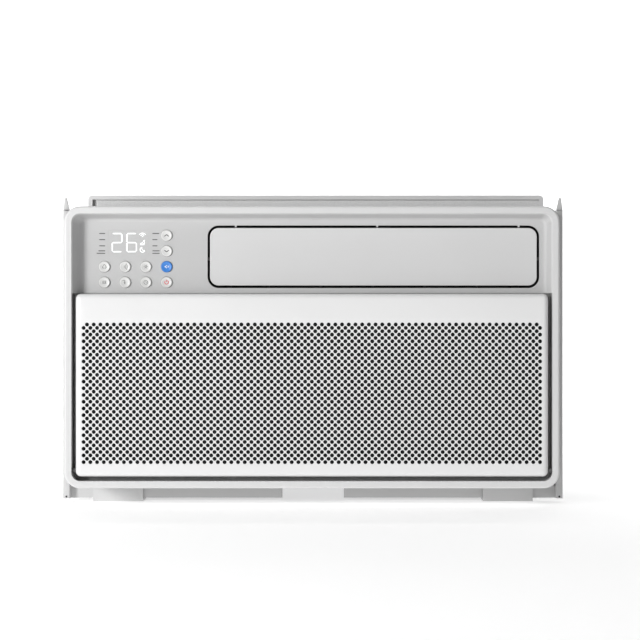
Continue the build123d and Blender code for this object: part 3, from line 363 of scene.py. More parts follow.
panel = solid_block("intake_panel_perforated", tray_low, tray_high)
shape(panel, "edges", lambda a, b: abs(a.y - b.y) > mm)
bpy.ops.mesh.bevel(offset=panel_corner, segments=6)
shape(panel, "polygons", lambda centre, normal: normal.y > 0.9)
bpy.ops.mesh.delete(type="FACE")
shape(panel, "edges", lambda a, b: max(a.y, b.y) < on_face)
bpy.ops.mesh.bevel(offset=panel_edge, segments=5)
shape(panel, "polygons", lambda centre, normal: normal.y < -0.99 and centre.y < on_face)
bpy.ops.mesh.delete(type="ONLY_FACE")
close(panel)


def hole_cells(first_x, first_z, across, up):
    """A field of square cells that stand on a corner, each with a round hole in it."""
    centre = (first_x, face_y, first_z)
    cell = start_primitive(
        "circle", vertices=hole_sides, radius=hole_radius, location=centre, rotation=(math.pi / 2, 0, 0)
    )
    place_in_mesh(cell)
    edge = start_primitive(
        "circle", vertices=4, radius=hole_pitch / 2, location=centre, rotation=(math.pi / 2, 0, 0)
    )
    place_in_mesh(edge)
    join(cell, edge)
    shape(cell, "edges", lambda a, b: True)
    bpy.ops.mesh.bridge_edge_loops()
    close(cell)
    for count, step in ((across, (hole_pitch, 0, 0)), (up, (0, 0, hole_pitch))):
        modify(
            cell,
            "ARRAY",
            count=count,
            use_relative_offset=False,
            use_constant_offset=True,
            constant_offset_displace=step,
        )
    return cell


field_left = -(holes_in_row - 1) / 2 * hole_pitch
field_low = border_low.z + field_middle - (hole_rows - 1) / 4 * hole_pitch
long_rows = hole_cells(field_left, field_low, holes_in_row, hole_rows // 2)
short_rows = hole_cells(
    field_left + hole_pitch / 2, field_low + hole_pitch / 2, holes_in_row - 1, hole_rows // 2
)
cells = join(long_rows, short_rows)
shape(cells, "vertices", lambda place: True)
bpy.ops.mesh.remove_doubles(threshold=0.02 * mm)
close(cells)
join(panel, cells)


def rim_edges(piece):
    """The places of the edges that only one face uses."""
    used = {}
    for face in piece.data.polygons:
        for key in face.edge_keys:
            used[key] = used.get(key, 0) + 1
    points = piece.data.vertices
    return {
        tuple(sorted((tuple(points[i].co) for i in key))) for key, count in used.items() if count == 1
    }


open_edges = rim_edges(panel)
hole_side = 2 * hole_radius * math.sin(math.pi / hole_sides)
shape(
    panel,
    "edges",
    lambda a, b: max(a.y, b.y) < on_face
    and abs((a - b).length - hole_side) > 0.03 * mm
    and tuple(sorted((tuple(a), tuple(b)))) in open_edges,
)
bpy.ops.mesh.fill(use_beauty=True)
shape(panel, "polygons", lambda centre, normal: True)
bpy.ops.mesh.normals_make_consistent(inside=False)
close(panel)
front_faces = [face for face in panel.data.polygons if face.center.y < face_y + mm]
facing = sum(face.normal.y * face.area for face in front_faces)
if facing > 0:
    panel.data.flip_normals()
modify(panel, "SOLIDIFY", thickness=panel_wall, offset=-1)
pins = []
for side in (-1, 1):
    root = side * (tray_high.x - panel_wall / 2)
    tip = side * panel_high.x
    pin = rod_between(f"pin_{side}", (root, pin_y, pin_z), (tip, pin_y, pin_z), pin_radius)
    shape(pin, "polygons", lambda centre, normal: abs(centre.x) > panel_high.x - 0.1 * mm)
    bpy.ops.mesh.inset(thickness=0.5 * mm)
    close(pin)
    pins.append(pin)
pins = join(*pins)
pins.name = "panel_pins"
soften(panel, 30)
soften(pins, 30)
dress(moulded("panel_moulding", (0.82, 0.82, 0.82), 0.4), panel.name)
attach(panel, "intake_panel")
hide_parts("intake_grille")
dress(moulded("pin_moulding", (0.09, 0.09, 0.09), 0.5), pins.name)
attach(pins, "intake_panel")

# ---- Air filter ----------------------------------------------------------------------
# A black polypropylene frame with a fine nylon mesh welded behind it. It clips into the back
# of the intake panel and moves with it.


def woven(name, colour, pitch, gap_colour):
    """A plain mesh of round threads that run both ways."""
    material = Material(name)
    parts = [
        material.node("ShaderNodeSeparateXYZ", {}, {"Vector": material.place}, axis) for axis in "XZ"
    ]
    threads = [(part * (2 * math.pi / pitch)).math("SINE") for part in parts]
    height = threads[0].math("MAXIMUM", threads[1])
    mask = height.math("GREATER_THAN", 0.3)
    return material.finish(
        Base_Color=material.mix(mask, (*gap_colour, 1), (*colour, 1)),
        Roughness=0.75 - 0.15 * height,
        Normal=material.bump(height, 0.0003, 0.6),
    )


dress(moulded("black_moulding", (0.012, 0.012, 0.013), 0.6, 0.0001), "filter_frame")
dress(woven("filter_net", (0.018, 0.018, 0.02), 0.9 * mm, (0.003, 0.003, 0.003)), "filter_mesh")

# ---- Outlet flap ---------------------------------------------------------------------
# A thin moulding that covers the outlet. It tilts about two pins in its end lugs, and a small
# geared motor behind the right end turns it.
dress(moulded("flap_moulding", (0.66, 0.66, 0.66), 0.45), "outlet_flap")
dress(moulded("flap_pin_moulding", (0.30, 0.30, 0.30), 0.4), "flap_pin", "flap_shaft")


def plated(name, colour, roughness=0.38):
    """Zinc-plated steel, with faint rolled streaks and cloudy patches."""
    material = Material(name)
    streaks = material.noise(60, 3, (1, 14, 14))
    clouds = material.noise(35, 2)
    darker = [c * 0.8 for c in colour]
    return material.finish(
        Base_Color=material.mix(clouds, (*darker, 1), (*colour, 1)),
        Metallic=0.9,
        Roughness=streaks * 0.2 + (roughness - 0.1),
        Normal=material.bump(streaks, 0.00008, 0.25),
    )


zinc = plated("zinc_plate", (0.62, 0.63, 0.65))
dress(zinc, "flap_motor")

# ---- Outlet duct and vanes -----------------------------------------------------------
# A black duct behind the outlet. Five upright vanes stand in it, joined by a link bar, and
# steer the air to the left or the right.
vane_names = [f"vane_{i}" for i in range(1, 6)]
duct_black = moulded("duct_moulding", (0.02, 0.02, 0.021), 0.6, 0.0001)
dress(duct_black, "outlet_duct")
dress(moulded("vane_moulding", (0.05, 0.05, 0.053), 0.5), "vane_link", *vane_names)

# ---- Push buttons --------------------------------------------------------------------
# Ten round caps, satin and slightly warmer than the front, each moulded with its flange and
# stem. Their symbols are printed. One cap is blue, and the power button's symbol is red.
button_names = sorted(name for name in nodes if name.startswith("button_"))
cap_white = moulded("cap_moulding", (0.72, 0.72, 0.71), 0.34, 0.00002, 0.15)
cap_blue = moulded("blue_cap_moulding", (0.055, 0.24, 0.69), 0.34, 0.00002, 0.15)
cap_radius = 6.3 * mm
flange_radius = 7.3 * mm
flange_thick = 1.2 * mm
cap_tall = 5.75 * mm  # from its face back to its flange's back
cap_sides = 40
cap_round = 0.7 * mm
stem_radius = 2.5 * mm
dish_deep = 0.15 * mm
dish_inset = 1.3 * mm


def middle_of(node):
    """The middle of a node's box, across and up, on its front."""
    low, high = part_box(node)
    return Vector(((low.x + high.x) / 2, low.y, (low.z + high.z) / 2))


def button_cap(node):
    """A cap with a rounded edge and a slightly dished face, on a flange and a stem."""
    x, y, z = middle_of(node)
    back = y + cap_tall
    cap = rod_between(node + "_cap", (x, y, z), (x, back, z), cap_radius, cap_sides)
    shape(cap, "polygons", lambda centre, normal: normal.y < -0.9)
    bpy.ops.mesh.inset(thickness=dish_inset)
    bpy.ops.mesh.extrude_region_move(TRANSFORM_OT_translate={"value": (0, dish_deep, 0)})
    bpy.ops.transform.resize(value=(0.94, 1, 0.94), center_override=(x, y, z))

    def on_rim(a, b):
        nearer = min(math.hypot(end.x - x, end.z - z) for end in (a, b))
        return max(a.y, b.y) < y + 0.01 * mm and nearer > cap_radius - 0.2 * mm

    shape(cap, "edges", on_rim)
    bpy.ops.mesh.bevel(offset=cap_round, segments=4)
    shape(cap, "polygons", lambda centre, normal: normal.y > 0.9)
    bpy.ops.mesh.inset(thickness=cap_radius - stem_radius)
    stem_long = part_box(node)[1].y - back
    bpy.ops.mesh.extrude_region_move(TRANSFORM_OT_translate={"value": (0, stem_long, 0)})
    close(cap)
    flange_ends = (x, back - flange_thick, z), (x, back, z)
    flange = rod_between("flange", *flange_ends, flange_radius, cap_sides)
    shape(flange, "edges", lambda a, b: abs(a.y - b.y) < 0.1 * mm)
    bpy.ops.mesh.bevel(offset=0.2 * mm, segments=2)
    close(flange)
    return soften(join(cap, flange), 40)


def copy_of(piece, name, move):
    """A copy of a piece with a mesh of its own, moved in its mesh."""
    bpy.ops.object.select_all(action="DESELECT")
    piece.select_set(True)
    bpy.context.view_layer.objects.active = piece
    bpy.ops.object.duplicate(linked=False)
    twin = bpy.context.object
    twin.name = name
    twin.location = move
    return place_in_mesh(twin)


first_button = button_names[0]
caps = {first_button: button_cap(first_button)}
for name in button_names[1:]:
    move = middle_of(name) - middle_of(first_button)
    caps[name] = copy_of(caps[first_button], name + "_cap", move)
for name, cap in caps.items():
    dress(cap_blue if name == "button_mute" else cap_white, cap.name)
    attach(cap, name)
    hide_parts(name)


def printed(name, colour, roughness=0.5):
    """Pad-printed ink, with a slight unevenness."""
    material = Material(name)
    patches = material.noise(900, 2)
    paler = [c * 1.12 + 0.01 for c in colour]
    return material.finish(
        Base_Color=material.mix(patches, (*colour, 1), (*paler, 1)), Roughness=patches * 0.1 + roughness
    )


grey_ink = printed("grey_ink", (0.10, 0.10, 0.10))
white_ink = printed("white_ink", (0.80, 0.82, 0.86))
red_ink = printed("red_ink", (0.62, 0.05, 0.07))
ink_thick = 0.12 * mm
ink_sunk = 0.02 * mm


def bar(x, y, z, length, width, angle=0.0):
    """A flat printed bar on a surface that faces the room, with pointed ends."""
    piece = start_primitive("cube", size=1)
    piece.scale = (length, ink_thick, width)
    place_in_mesh(piece)
    shape(piece, "edges", lambda a, b: abs(a.y - b.y) > ink_thick / 2)
    bpy.ops.mesh.bevel(offset=width * 0.45, segments=1)
    close(piece)
    piece.rotation_euler = (0, -math.radians(angle), 0)
    piece.location = (x, y - ink_thick / 2 + ink_sunk, z)
    return place_in_mesh(piece)


def arc(x, y, z, radius, start, sweep, width):
    """A printed ring or part of one, from the angle start on, in degrees from the right."""
    ring = start_primitive("circle", vertices=36, radius=radius + width / 2, fill_type="NGON")
    shape(ring, "polygons", lambda centre, normal: True)
    bpy.ops.mesh.inset(thickness=width)
    bpy.ops.mesh.delete(type="FACE")

    def outside(centre, normal):
        angle = (math.degrees(math.atan2(centre.y, centre.x)) - start) % 360
        return angle > sweep

    shape(ring, "polygons", outside)
    bpy.ops.mesh.delete(type="FACE")
    close(ring)
    modify(ring, "SOLIDIFY", thickness=ink_thick, offset=0)
    ring.rotation_euler = (math.pi / 2, 0, 0)
    ring.location = (x, y - ink_thick / 2 + ink_sunk, z)
    bpy.ops.object.select_all(action="DESELECT")
    ring.select_set(True)
    return place_in_mesh(ring)


def symbol_strokes(kind, x, y, z):
    """The strokes of one button's symbol, about 5 mm across."""
    if kind in ("up", "down"):
        lean = -38 if kind == "up" else 38
        return [bar(x + side * 1.25 * mm, y, z, 3.6 * mm, 0.9 * mm, side * lean) for side in (-1, 1)]
    if kind == "power":
        return [arc(x, y, z, 2.1 * mm, 125, 290, 0.8 * mm), bar(x, y, z + 1.7 * mm, 2.6 * mm, 0.8 * mm, 90)]
    if kind == "mute":
        box = bar(x - 1.6 * mm, y, z, 1.6 * mm, 1.9 * mm)
        cone = [bar(x - 0.4 * mm, y, z + side * 1.0 * mm, 2.0 * mm, 0.8 * mm, side * 45) for side in (-1, 1)]
        cross = [bar(x + 2.0 * mm, y, z, 2.6 * mm, 0.6 * mm, lean) for lean in (-45, 45)]
        return [box, *cone, *cross]
    if kind == "fan":
        return [
            arc(
                x + 1.2 * mm * math.cos(math.radians(turn)),
                y,
                z + 1.2 * mm * math.sin(math.radians(turn)),
                1.1 * mm,
                turn - 100,
                200,
                0.55 * mm,
            )
            for turn in (90, 210, 330)
        ]
    if kind == "swing":
        return [arc(x - 3 * mm, y, z, r * mm, -40, 80, 0.5 * mm) for r in (2.2, 3.8, 5.4)]
    if kind == "mode":
        rays = [
            bar(
                x + 2.1 * mm * math.cos(math.radians(turn)),
                y,
                z + 2.1 * mm * math.sin(math.radians(turn)),
                1.1 * mm,
                0.45 * mm,
                turn,
            )
            for turn in range(0, 360, 60)
        ]
        return [arc(x, y, z, 1.0 * mm, 0, 360, 0.5 * mm), *rays]
    if kind == "filter":
        rows = [bar(x, y, z + step * 1.3 * mm, 4.2 * mm, 0.45 * mm) for step in (-1, 0, 1)]
        return rows + [bar(x + step * 1.6 * mm, y, z, 3.4 * mm, 0.45 * mm, 90) for step in (-1, 1)]
    if kind == "eco":
        leaf = [arc(x + side * 1.2 * mm, y, z, 2.2 * mm, 90 + side * 45, 90, 0.5 * mm) for side in (-1, 1)]
        return leaf + [bar(x, y, z - 0.6 * mm, 3.2 * mm, 0.45 * mm, 80)]
    hands = [bar(x, y, z + 0.7 * mm, 1.6 * mm, 0.45 * mm, 90), bar(x + 0.6 * mm, y, z, 1.3 * mm, 0.45 * mm)]
    return [arc(x, y, z, 2.2 * mm, 0, 360, 0.5 * mm), *hands]


for name in button_names:
    kind = name.split("_")[1]
    symbol = join(*symbol_strokes(kind, *(middle_of(name) + Vector((0, dish_deep, 0)))))
    symbol.name = f"symbol_{kind}"
    dress({"mute": white_ink, "power": red_ink}.get(kind, grey_ink), symbol.name)
    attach(symbol, name)

# ---- Display -------------------------------------------------------------------------
# A translucent lens pressed flush into the front. Two digits and three signs shine through
# it, and short marks are printed on the front beside it.
dress(moulded("lens_moulding", (0.54, 0.54, 0.54), 0.4, 0.00004), "display_lens")


def glowing(name, colour, strength):
    """Light from a diode behind the lens, a little uneven."""
    material = Material(name)
    patches = material.noise(400, 1)
    dimmer = [c * 0.9 for c in colour]
    material.shader.inputs["Emission Strength"].default_value = strength
    return material.finish(
        Base_Color=(*colour, 1),
        Emission_Color=material.mix(patches, (*dimmer, 1), (*colour, 1)),
        Roughness=patches * 0.1 + 0.3,
    )


lens_low, lens_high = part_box("display_lens")
lens_x, surface_y, lens_z = middle_of("display_lens")
digit_wide = 10.9 * mm
digit_tall = 20.6 * mm
segment = 1.25 * mm
segment_gap = 0.9 * mm
white_glow = glowing("white_glow", (0.95, 0.96, 0.97), 0.55)
# one entry for each segment: its place in halves of the digit's size, and its angle
segments = {
    "a": (0, 1, 0),
    "b": (1, 0.5, 90),
    "c": (1, -0.5, 90),
    "d": (0, -1, 0),
    "e": (-1, -0.5, 90),
    "f": (-1, 0.5, 90),
    "g": (0, 0, 0),
}
for name, shift, lit in (("tens", -13.2 * mm, "abged"), ("units", 3.4 * mm, "acdefg")):
    bars = []
    for letter in lit:
        across, up, angle = segments[letter]
        length = (digit_tall / 2 if angle else digit_wide) - segment_gap
        bars.append(
            bar(
                lens_x + shift + across * digit_wide / 2,
                surface_y,
                lens_z + up * digit_tall / 2,
                length,
                segment,
                angle,
            )
        )
    digit = join(*bars)
    digit.name = f"digit_{name}"
    dress(white_glow, digit.name)
    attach(digit, "unit")

sign_x = lens_x + 15.8 * mm
signal = [arc(sign_x, surface_y, lens_z + 6.0 * mm, r * mm, 45, 90, 0.7 * mm) for r in (1.0, 2.9, 4.8)]
level = [
    arc(sign_x, surface_y, lens_z + 0.4 * mm, 2.3 * mm, 200, 220, 0.7 * mm),
    bar(sign_x, surface_y, lens_z + 0.4 * mm, 7.6 * mm, 0.6 * mm, 42),
    bar(sign_x, surface_y, lens_z - 2.4 * mm, 4.6 * mm, 0.7 * mm),
]
moon = [
    arc(sign_x, surface_y, lens_z - 8.1 * mm, 2.8 * mm, 100, 230, 0.7 * mm),
    arc(sign_x + 1.6 * mm, surface_y, lens_z - 6.6 * mm, 2.4 * mm, 150, 150, 0.6 * mm),
]
for name, strokes in (("signal", signal), ("level", level), ("moon", moon)):
    sign = join(*strokes)
    sign.name = f"sign_{name}"
    dress(white_glow, sign.name)
    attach(sign, "unit")

mark_wide = 1.1 * mm
marks = []
# one entry for each row: its height from the lens's middle, and its lengths to the left and right
for up, left_long, right_long in (
    (10.4, 7.0, 8.0),
    (3.4, 7.0, 6.0),
    (-3.7, 7.0, 6.0),
    (-9.4, 8.0, 8.5),
    (-12.2, 10.0, 8.5),
):
    at = lens_low.x - (3.6 + left_long / 2) * mm
    marks.append(bar(at, surface_y, lens_z + up * mm, left_long * mm, mark_wide))
    at = lens_high.x + (3.9 + right_long / 2) * mm
    marks.append(bar(at, surface_y, lens_z + up * mm, right_long * mm, mark_wide))
display_marks = join(*marks)
display_marks.name = "display_marks"
dress(grey_ink, "display_marks")
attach(display_marks, "unit")


def resist(name):
    """Green solder resist over faint copper tracks."""
    material = Material(name)
    tracks = material.node(
        "ShaderNodeTexVoronoi", {"distance": "MANHATTAN"}, {"Vector": material.place, "Scale": 260.0}
    )
    lines = tracks.math("GREATER_THAN", 0.55)
    return material.finish(
        Base_Color=material.mix(lines, (0.01, 0.10, 0.04, 1), (0.02, 0.16, 0.07, 1)),
        Roughness=0.35 + 0.1 * tracks,
        Normal=material.bump(lines, 0.00005, 0.5),
    )


dress(resist("solder_resist"), "control_board")

# ---- Cabinet, rear grille and base pan -----------------------------------------------
# Folded steel sheet with a pale powder coat. The cabinet drops over the base pan, and screws
# along its lower edges hold it. The rear grille is pressed and slotted.


def powder_coat(name, colour, roughness=0.45):
    """Baked powder paint: a fine orange-peel surface, with slow changes of shade."""
    material = Material(name)
    peel = material.noise(1100, 1)
    slow = material.noise(7, 3)
    darker = [c * 0.93 for c in colour]
    return material.finish(
        Base_Color=material.mix(slow, (*darker, 1), (*colour, 1)),
        Metallic=0.15,
        Roughness=slow * 0.12 + peel * 0.1 + (roughness - 0.1),
        Normal=material.bump(peel, 0.00012, 0.35),
    )


pale_coat = powder_coat("pale_coat", (0.72, 0.72, 0.72))
dress(pale_coat, "cabinet_shell", "rear_grille")
dress(powder_coat("grey_coat", (0.40, 0.40, 0.405), 0.5), "base_pan", "motor_bracket", "fan_shroud")


def foam_board(name, colour, cell):
    """Expanded foam: small round cells pressed together."""
    material = Material(name)
    cells = material.node("ShaderNodeTexVoronoi", {}, {"Vector": material.place, "Scale": 1 / cell})
    shade = [c * 0.86 for c in colour]
    return material.finish(
        Base_Color=material.mix(cells, (*colour, 1), (*shade, 1)),
        Roughness=0.8 + 0.1 * cells,
        Normal=material.bump(cells, 0.0006, 0.5),
    )


dress(foam_board("white_foam", (0.78, 0.78, 0.77), 3.5 * mm), "bulkhead")


head_tall = 2.2 * mm
head_radius = 4.2 * mm
head_round = 1.0 * mm
socket_inset = 1.6 * mm
socket_deep = 1.2 * mm


def screw_head(name, place, out):
    """A pan-head screw with a round socket, standing on a surface that faces the direction out."""
    place, out = Vector(place), Vector(out)
    head = rod_between(name, place, place + out * head_tall, head_radius)
    near_top = (place + out * head_tall).dot(out) - 0.1 * mm
    shape(head, "edges", lambda a, b: min(a.dot(out), b.dot(out)) > near_top)
    bpy.ops.mesh.bevel(offset=head_round, segments=3)
    shape(head, "polygons", lambda centre, normal: normal.dot(out) > 0.99 and centre.dot(out) > near_top)
    bpy.ops.mesh.inset(thickness=socket_inset)
    bpy.ops.mesh.extrude_region_move(TRANSFORM_OT_translate={"value": tuple(-out * socket_deep)})
    close(head)
    return soften(head)


shell_low, shell_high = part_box("cabinet_shell")
front_screw_y = shell_low.y + 60 * mm
rear_screw_y = shell_high.y - 40 * mm
screw_z = shell_low.z + 9 * mm
shell_screws = []
for side in (-1, 1):
    head = screw_head("screw", (side * shell_high.x, front_screw_y, screw_z), (side, 0, 0))
    others = [copy_of(head, "screw", (0, y - front_screw_y, 0)) for y in (0, rear_screw_y)]
    shell_screws.extend((head, *others))
shell_screws = join(*shell_screws)
shell_screws.name = "shell_screws"
dress(zinc, "shell_screws", "cabinet_screws")
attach(shell_screws, "unit")

# ---- Coils ---------------------------------------------------------------------------
# Thin aluminium fins pressed on rows of tube, between two end plates. The return bends at
# one end and the pipes are bare copper.


def finned(name, colour):
    """Rolled aluminium, with faint streaks along the fins."""
    material = Material(name)
    streaks = material.noise(300, 2, (1, 1, 8))
    darker = [c * 0.7 for c in colour]
    return material.finish(
        Base_Color=material.mix(streaks, (*darker, 1), (*colour, 1)),
        Metallic=0.85,
        Roughness=streaks * 0.2 + 0.3,
        Normal=material.bump(streaks, 0.00005, 0.3),
    )


fin_material = finned("fin_aluminium_bare", (0.72, 0.73, 0.75))
fin_pitch = 2.2 * mm
fin_thick = 0.3 * mm
end_plate = 3 * mm
plate_over_fins = 2 * mm
tube_radius = 3.5 * mm
tube_inset = 9 * mm  # from the coil's front and back
tube_pitch = 25 * mm  # at least


def fin_stack(node, name):
    """Fins between the two end plates of a coil, with the tubes that run through them."""
    low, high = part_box(node)
    inner = high.x - end_plate
    top = high.z - plate_over_fins
    fin = solid_block(name, (-inner, low.y, low.z), (-inner + fin_thick, high.y, top))
    shape(fin, "polygons", lambda centre, normal: normal.y < -0.9)
    bpy.ops.mesh.subdivide(number_cuts=2)
    close(fin)
    count = int((2 * inner - fin_thick) / fin_pitch) + 1
    modify(
        fin,
        "ARRAY",
        count=count,
        use_relative_offset=False,
        use_constant_offset=True,
        constant_offset_displace=(fin_pitch, 0, 0),
    )
    rows = int((top - low.z) / tube_pitch)
    step = (top - low.z) / rows
    across = high.y - low.y - 2 * tube_inset
    y, z = low.y + tube_inset, low.z + step / 2
    tube = rod_between("tube", (-inner, y, z), (inner, y, z), tube_radius, 12)
    places = [(0, back, row * step) for row in range(rows) for back in (0, across)]
    tubes = [tube, *(copy_of(tube, "tube", place) for place in places[1:])]
    plates = []
    for side in (-1, 1):
        near, far = sorted((side * inner, side * high.x))
        plate = solid_block("plate", (near, low.y, low.z), (far, high.y, high.z))
        shape(plate, "edges", lambda a, b: abs(a.x - b.x) > mm)
        bpy.ops.mesh.bevel(offset=2 * mm, segments=2)
        close(plate)
        plates.append(plate)
    stack = join(fin, *tubes, *plates)
    stack.name = name
    dress(fin_material, stack.name)
    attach(stack, "unit")
    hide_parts(node)


fin_stack("evaporator_coil", "indoor_fins")
fin_stack("condenser_coil", "outdoor_fins")


def copper_finish(name):
    """Bare copper, dulled in patches."""
    material = Material(name)
    tarnish = material.noise(45, 4)
    return material.finish(
        Base_Color=material.mix(tarnish, (0.30, 0.13, 0.07, 1), (0.72, 0.36, 0.22, 1)),
        Metallic=0.95,
        Roughness=tarnish * 0.25 + 0.2,
        Normal=material.bump(tarnish, 0.0001, 0.2),
    )


dress(
    copper_finish("bare_copper"), "coil_bends", "suction_pipe", "discharge_pipe", "capillary_tube"
)

# ---- Compressor and accumulator ------------------------------------------------------
# Deep-drawn steel shells in black enamel. The compressor stands on rubber feet, and the
# accumulator is strapped to its side.
dress(powder_coat("black_enamel", (0.015, 0.015, 0.016), 0.32), "compressor", "accumulator")


def rubber(name, colour):
    """Moulded rubber with a dull, slightly dusty surface."""
    material = Material(name)
    dust = material.noise(160, 4)
    paler = [c + 0.03 for c in colour]
    return material.finish(
        Base_Color=material.mix(dust, (*colour, 1), (*paler, 1)),
        Roughness=dust * 0.2 + 0.65,
        Normal=material.bump(dust, 0.0002, 0.3),
    )


black_rubber = rubber("black_rubber", (0.02, 0.02, 0.02))
dress(black_rubber, "compressor_feet", "drain_plug", "cord_grommet")

# ---- Blower, motor and outdoor fan ---------------------------------------------------
# One double-ended motor on a steel bracket turns the blower wheel in its housing and the
# outdoor fan in its shroud.
dress(duct_black, "blower_scroll", "blower_wheel", "condenser_fan", "control_box")
dress(zinc, "fan_motor", "fan_shaft")

# ---- Side shutters -------------------------------------------------------------------
# Each shutter is one moulding, an upright that slides out on two arms. A pleated vinyl
# curtain closes the space between it and the cabinet.
shutter_white = moulded("shutter_moulding", (0.58, 0.58, 0.58), 0.45)
dress(pale_coat, "curtain_channels")
skin = 1.6 * mm
rib_pitch = 31 * mm
tab_tall = 14 * mm
member_wide = 8 * mm
bead = 1.3 * mm
arm_round = 2.4 * mm
rib_thick = 1.2 * mm
rib_behind = 1.5 * mm  # from the ribs to the channel's open back
rail_wall = 1.6 * mm
arm_gap = 0.8 * mm
top_arm_height = 12 * mm
low_arm_below = 0.5 * mm  # under the curtain
tab_thick = 3 * mm
tab_tip = 5 * mm  # from the tab's inner edge
tab_narrow = 0.3
stop_radius = 1.3 * mm
stop_above = 2.2 * mm
stop_long = 3 * mm
stop_proud = 0.1 * mm


def open_channel(name, low, high, end_x=None):
    """An arm or upright moulded as a channel that is open at the back. An arm's end is rounded."""
    channel = solid_block(name, low, high)
    if end_x is not None:
        shape(channel, "edges", lambda a, b: abs(a.z - b.z) > mm and abs(a.x - end_x) < mm)
        bpy.ops.mesh.bevel(offset=arm_round, segments=4)
    shape(channel, "polygons", lambda centre, normal: normal.y > 0.9)
    bpy.ops.mesh.inset(thickness=skin)
    depth = high[1] - low[1] - skin
    bpy.ops.mesh.extrude_region_move(TRANSFORM_OT_translate={"value": (0, -depth, 0)})
    close(channel)
    return channel


def channel_ribs(low, high):
    """Cross ribs inside a channel, along its length."""
    upright = high[2] - low[2] > high[0] - low[0]
    length = high[2] - low[2] if upright else high[0] - low[0]
    count = int(length / rib_pitch)
    ribs = []
    for i in range(1, count):
        rib_low = [low[0] + skin / 2, low[1] + skin / 2, low[2] + skin / 2]
        rib_high = [high[0] - skin / 2, high[1] - rib_behind, high[2] - skin / 2]
        axis = 2 if upright else 0
        rib_low[axis] = low[axis] + i * length / count
        rib_high[axis] = rib_low[axis] + rib_thick
        ribs.append(solid_block("rib", rib_low, rib_high))
    return ribs


for name, side in (("left", -1), ("right", 1)):
    low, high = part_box(f"{name}_shutter")
    arm_low, arm_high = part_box(f"{name}_curtain")
    outer = side * max(abs(low.x), abs(high.x))
    inner = outer - side * member_wide
    arm_end = side * min(abs(low.x), abs(high.x))
    shoulder = high.z - tab_tall
    near, far = sorted((inner, outer))
    member = open_channel(f"{name}_upright", (near, low.y, low.z), (far, high.y, shoulder))
    shape(member, "edges", lambda a, b: abs(a.z - b.z) > 0.2 and max(a.y, b.y) < low.y + 0.1 * mm)
    bpy.ops.mesh.bevel(offset=bead, segments=3)
    close(member)
    parts = [member, *channel_ribs((near, low.y, low.z), (far, high.y, shoulder))]
    near, far = sorted((arm_end, inner + side * mm))
    low_arm_top = arm_low.z - low_arm_below
    high_arm_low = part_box("top_rail")[0].z + rail_wall + arm_gap
    for bottom, top in ((low.z, low_arm_top), (high_arm_low, high_arm_low + top_arm_height)):
        corners = ((near, arm_low.y, bottom), (far, arm_high.y, top))
        parts.append(open_channel("arm", *corners, arm_end))
        parts.extend(channel_ribs(*corners))
    near, far = sorted((inner, outer))
    tab = solid_block("tab", (near, low.y, shoulder - mm), (far, low.y + tab_thick, high.z))
    shape(tab, "polygons", lambda centre, normal: normal.z > 0.9)
    tip = (inner + side * tab_tip, low.y, high.z)
    bpy.ops.transform.resize(value=(tab_narrow, 1, 1), center_override=tip)
    shape(tab, "edges", lambda a, b: abs(a.z - b.z) > 5 * mm)
    bpy.ops.mesh.bevel(offset=0.5 * mm, segments=2)
    close(tab)
    shutter = join(*parts, tab)
    shutter.name = f"{name}_shutter_moulding"
    soften(shutter)
    dress(shutter_white, shutter.name)
    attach(shutter, f"{name}_shutter_slide")
    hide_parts(f"{name}_shutter")
    stop_at = Vector(((inner + outer) / 2, low.y - stop_proud, low.z + stop_above))
    stop_end = stop_at + Vector((0, stop_long, 0))
    stop = rod_between(f"{name}_stop_pin", stop_at, stop_end, stop_radius, 12)
    shape(stop, "edges", lambda a, b: max(a.y, b.y) < low.y)
    bpy.ops.mesh.bevel(offset=0.3 * mm, segments=2)
    close(stop)
    soften(stop)
    dress(black_rubber, stop.name)
    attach(stop, f"{name}_shutter_slide")

pleat_deep = 4.6 * mm
pleat_count = 14
vinyl_thick = 0.35 * mm


def vinyl(name, colour):
    """Calendered vinyl sheet with a faint leather grain."""
    material = Material(name)
    grain = material.node("ShaderNodeTexVoronoi", {}, {"Vector": material.place, "Scale": 900.0})
    slow = material.noise(12, 3)
    darker = [c * 0.9 for c in colour]
    return material.finish(
        Base_Color=material.mix(slow, (*darker, 1), (*colour, 1)),
        Roughness=0.45 + 0.15 * grain,
        Normal=material.bump(grain, 0.0002, 0.4),
    )


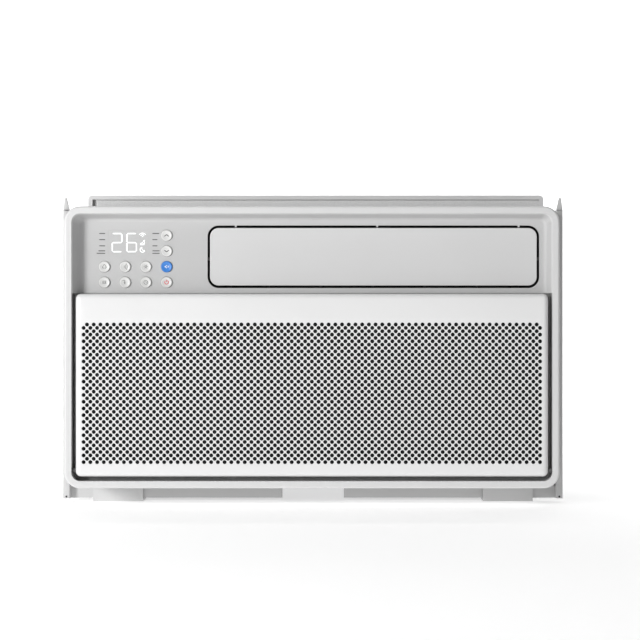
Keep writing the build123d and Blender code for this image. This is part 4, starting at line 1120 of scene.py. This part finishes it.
pleat_vinyl = vinyl("pleat_vinyl", (0.66, 0.66, 0.66))
for name, side in (("left", -1), ("right", 1)):
    low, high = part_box(f"{name}_curtain")
    middle_y = (low.y + high.y) / 2
    sheet = start_primitive(
        "grid",
        x_subdivisions=2 * pleat_count,
        y_subdivisions=1,
        size=1,
        location=((low.x + high.x) / 2, middle_y, (low.z + high.z) / 2),
        rotation=(math.pi / 2, 0, 0),
    )
    sheet.scale = (high.x - low.x, high.z - low.z, 1)
    place_in_mesh(sheet)
    sheet.name = f"{name}_pleats"
    step = (high.x - low.x) / (2 * pleat_count)
    for shift, odd in ((pleat_deep, 0), (-pleat_deep, 1)):
        shape(sheet, "vertices", lambda place: round((place.x - low.x) / step) % 2 == odd)
        bpy.ops.transform.translate(value=(0, shift, 0))
    close(sheet)
    modify(sheet, "SOLIDIFY", thickness=vinyl_thick, offset=0)
    dress(pleat_vinyl, sheet.name)
    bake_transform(sheet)
    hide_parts(f"{name}_curtain")

# ---- Top rail and sill brackets ------------------------------------------------------
# A folded steel channel screwed to the cabinet's top, with a foam strip that seals against
# the window, and two folded brackets under the base pan that guide the shutters' arms.
dress(powder_coat("rail_coat", (0.74, 0.74, 0.74)), "top_rail")
rail_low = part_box("top_rail")[0]
seal_low, seal_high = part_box("top_rail_seal")
seal_behind_lip = 4.5 * mm
seal = solid_block("rail_foam", (seal_low.x, rail_low.y + seal_behind_lip, seal_low.z), seal_high)
shape(seal, "edges", lambda a, b: abs(a.x - b.x) > 5 * mm)
bpy.ops.mesh.bevel(offset=1.2 * mm, segments=3)
close(seal)
soften(seal)
dress(foam_board("pale_foam", (0.80, 0.80, 0.80), 0.9 * mm), seal.name)
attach(seal, "unit")
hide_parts("top_rail_seal")
dress(powder_coat("bracket_coat", (0.62, 0.62, 0.62)), "sill_brackets")

# ---- Floor ---------------------------------------------------------------------------
# A plain pale sweep that lies under the object and curves up behind it. It glows a little, so
# that it stays white to its edges.
floor = start_primitive("plane", size=1, location=(0, -0.4, 0))
floor.name = "floor"
floor.scale = (14, 7.2, 1)
place_in_mesh(floor)
shape(floor, "edges", lambda a, b: min(a.y, b.y) > 1)
bpy.ops.mesh.extrude_region_move(TRANSFORM_OT_translate={"value": (0, 0, 5)})
shape(floor, "edges", lambda a, b: min(a.y, b.y) > 1 and max(a.z, b.z) < 0.1)
bpy.ops.mesh.bevel(offset=1.2, segments=16)
close(floor)
soften(floor, 60)
paper = Material("pale_paper")
paper_shade = paper.noise(1.5, 2)
paper.shader.inputs["Emission Strength"].default_value = 0.45
dress(
    paper.finish(
        Base_Color=paper.mix(paper_shade, (0.90, 0.90, 0.90, 1), (0.93, 0.93, 0.93, 1)),
        Emission_Color=(1, 1, 1, 1),
        Roughness=paper_shade * 0.1 + 0.8,
    ),
    "floor",
)
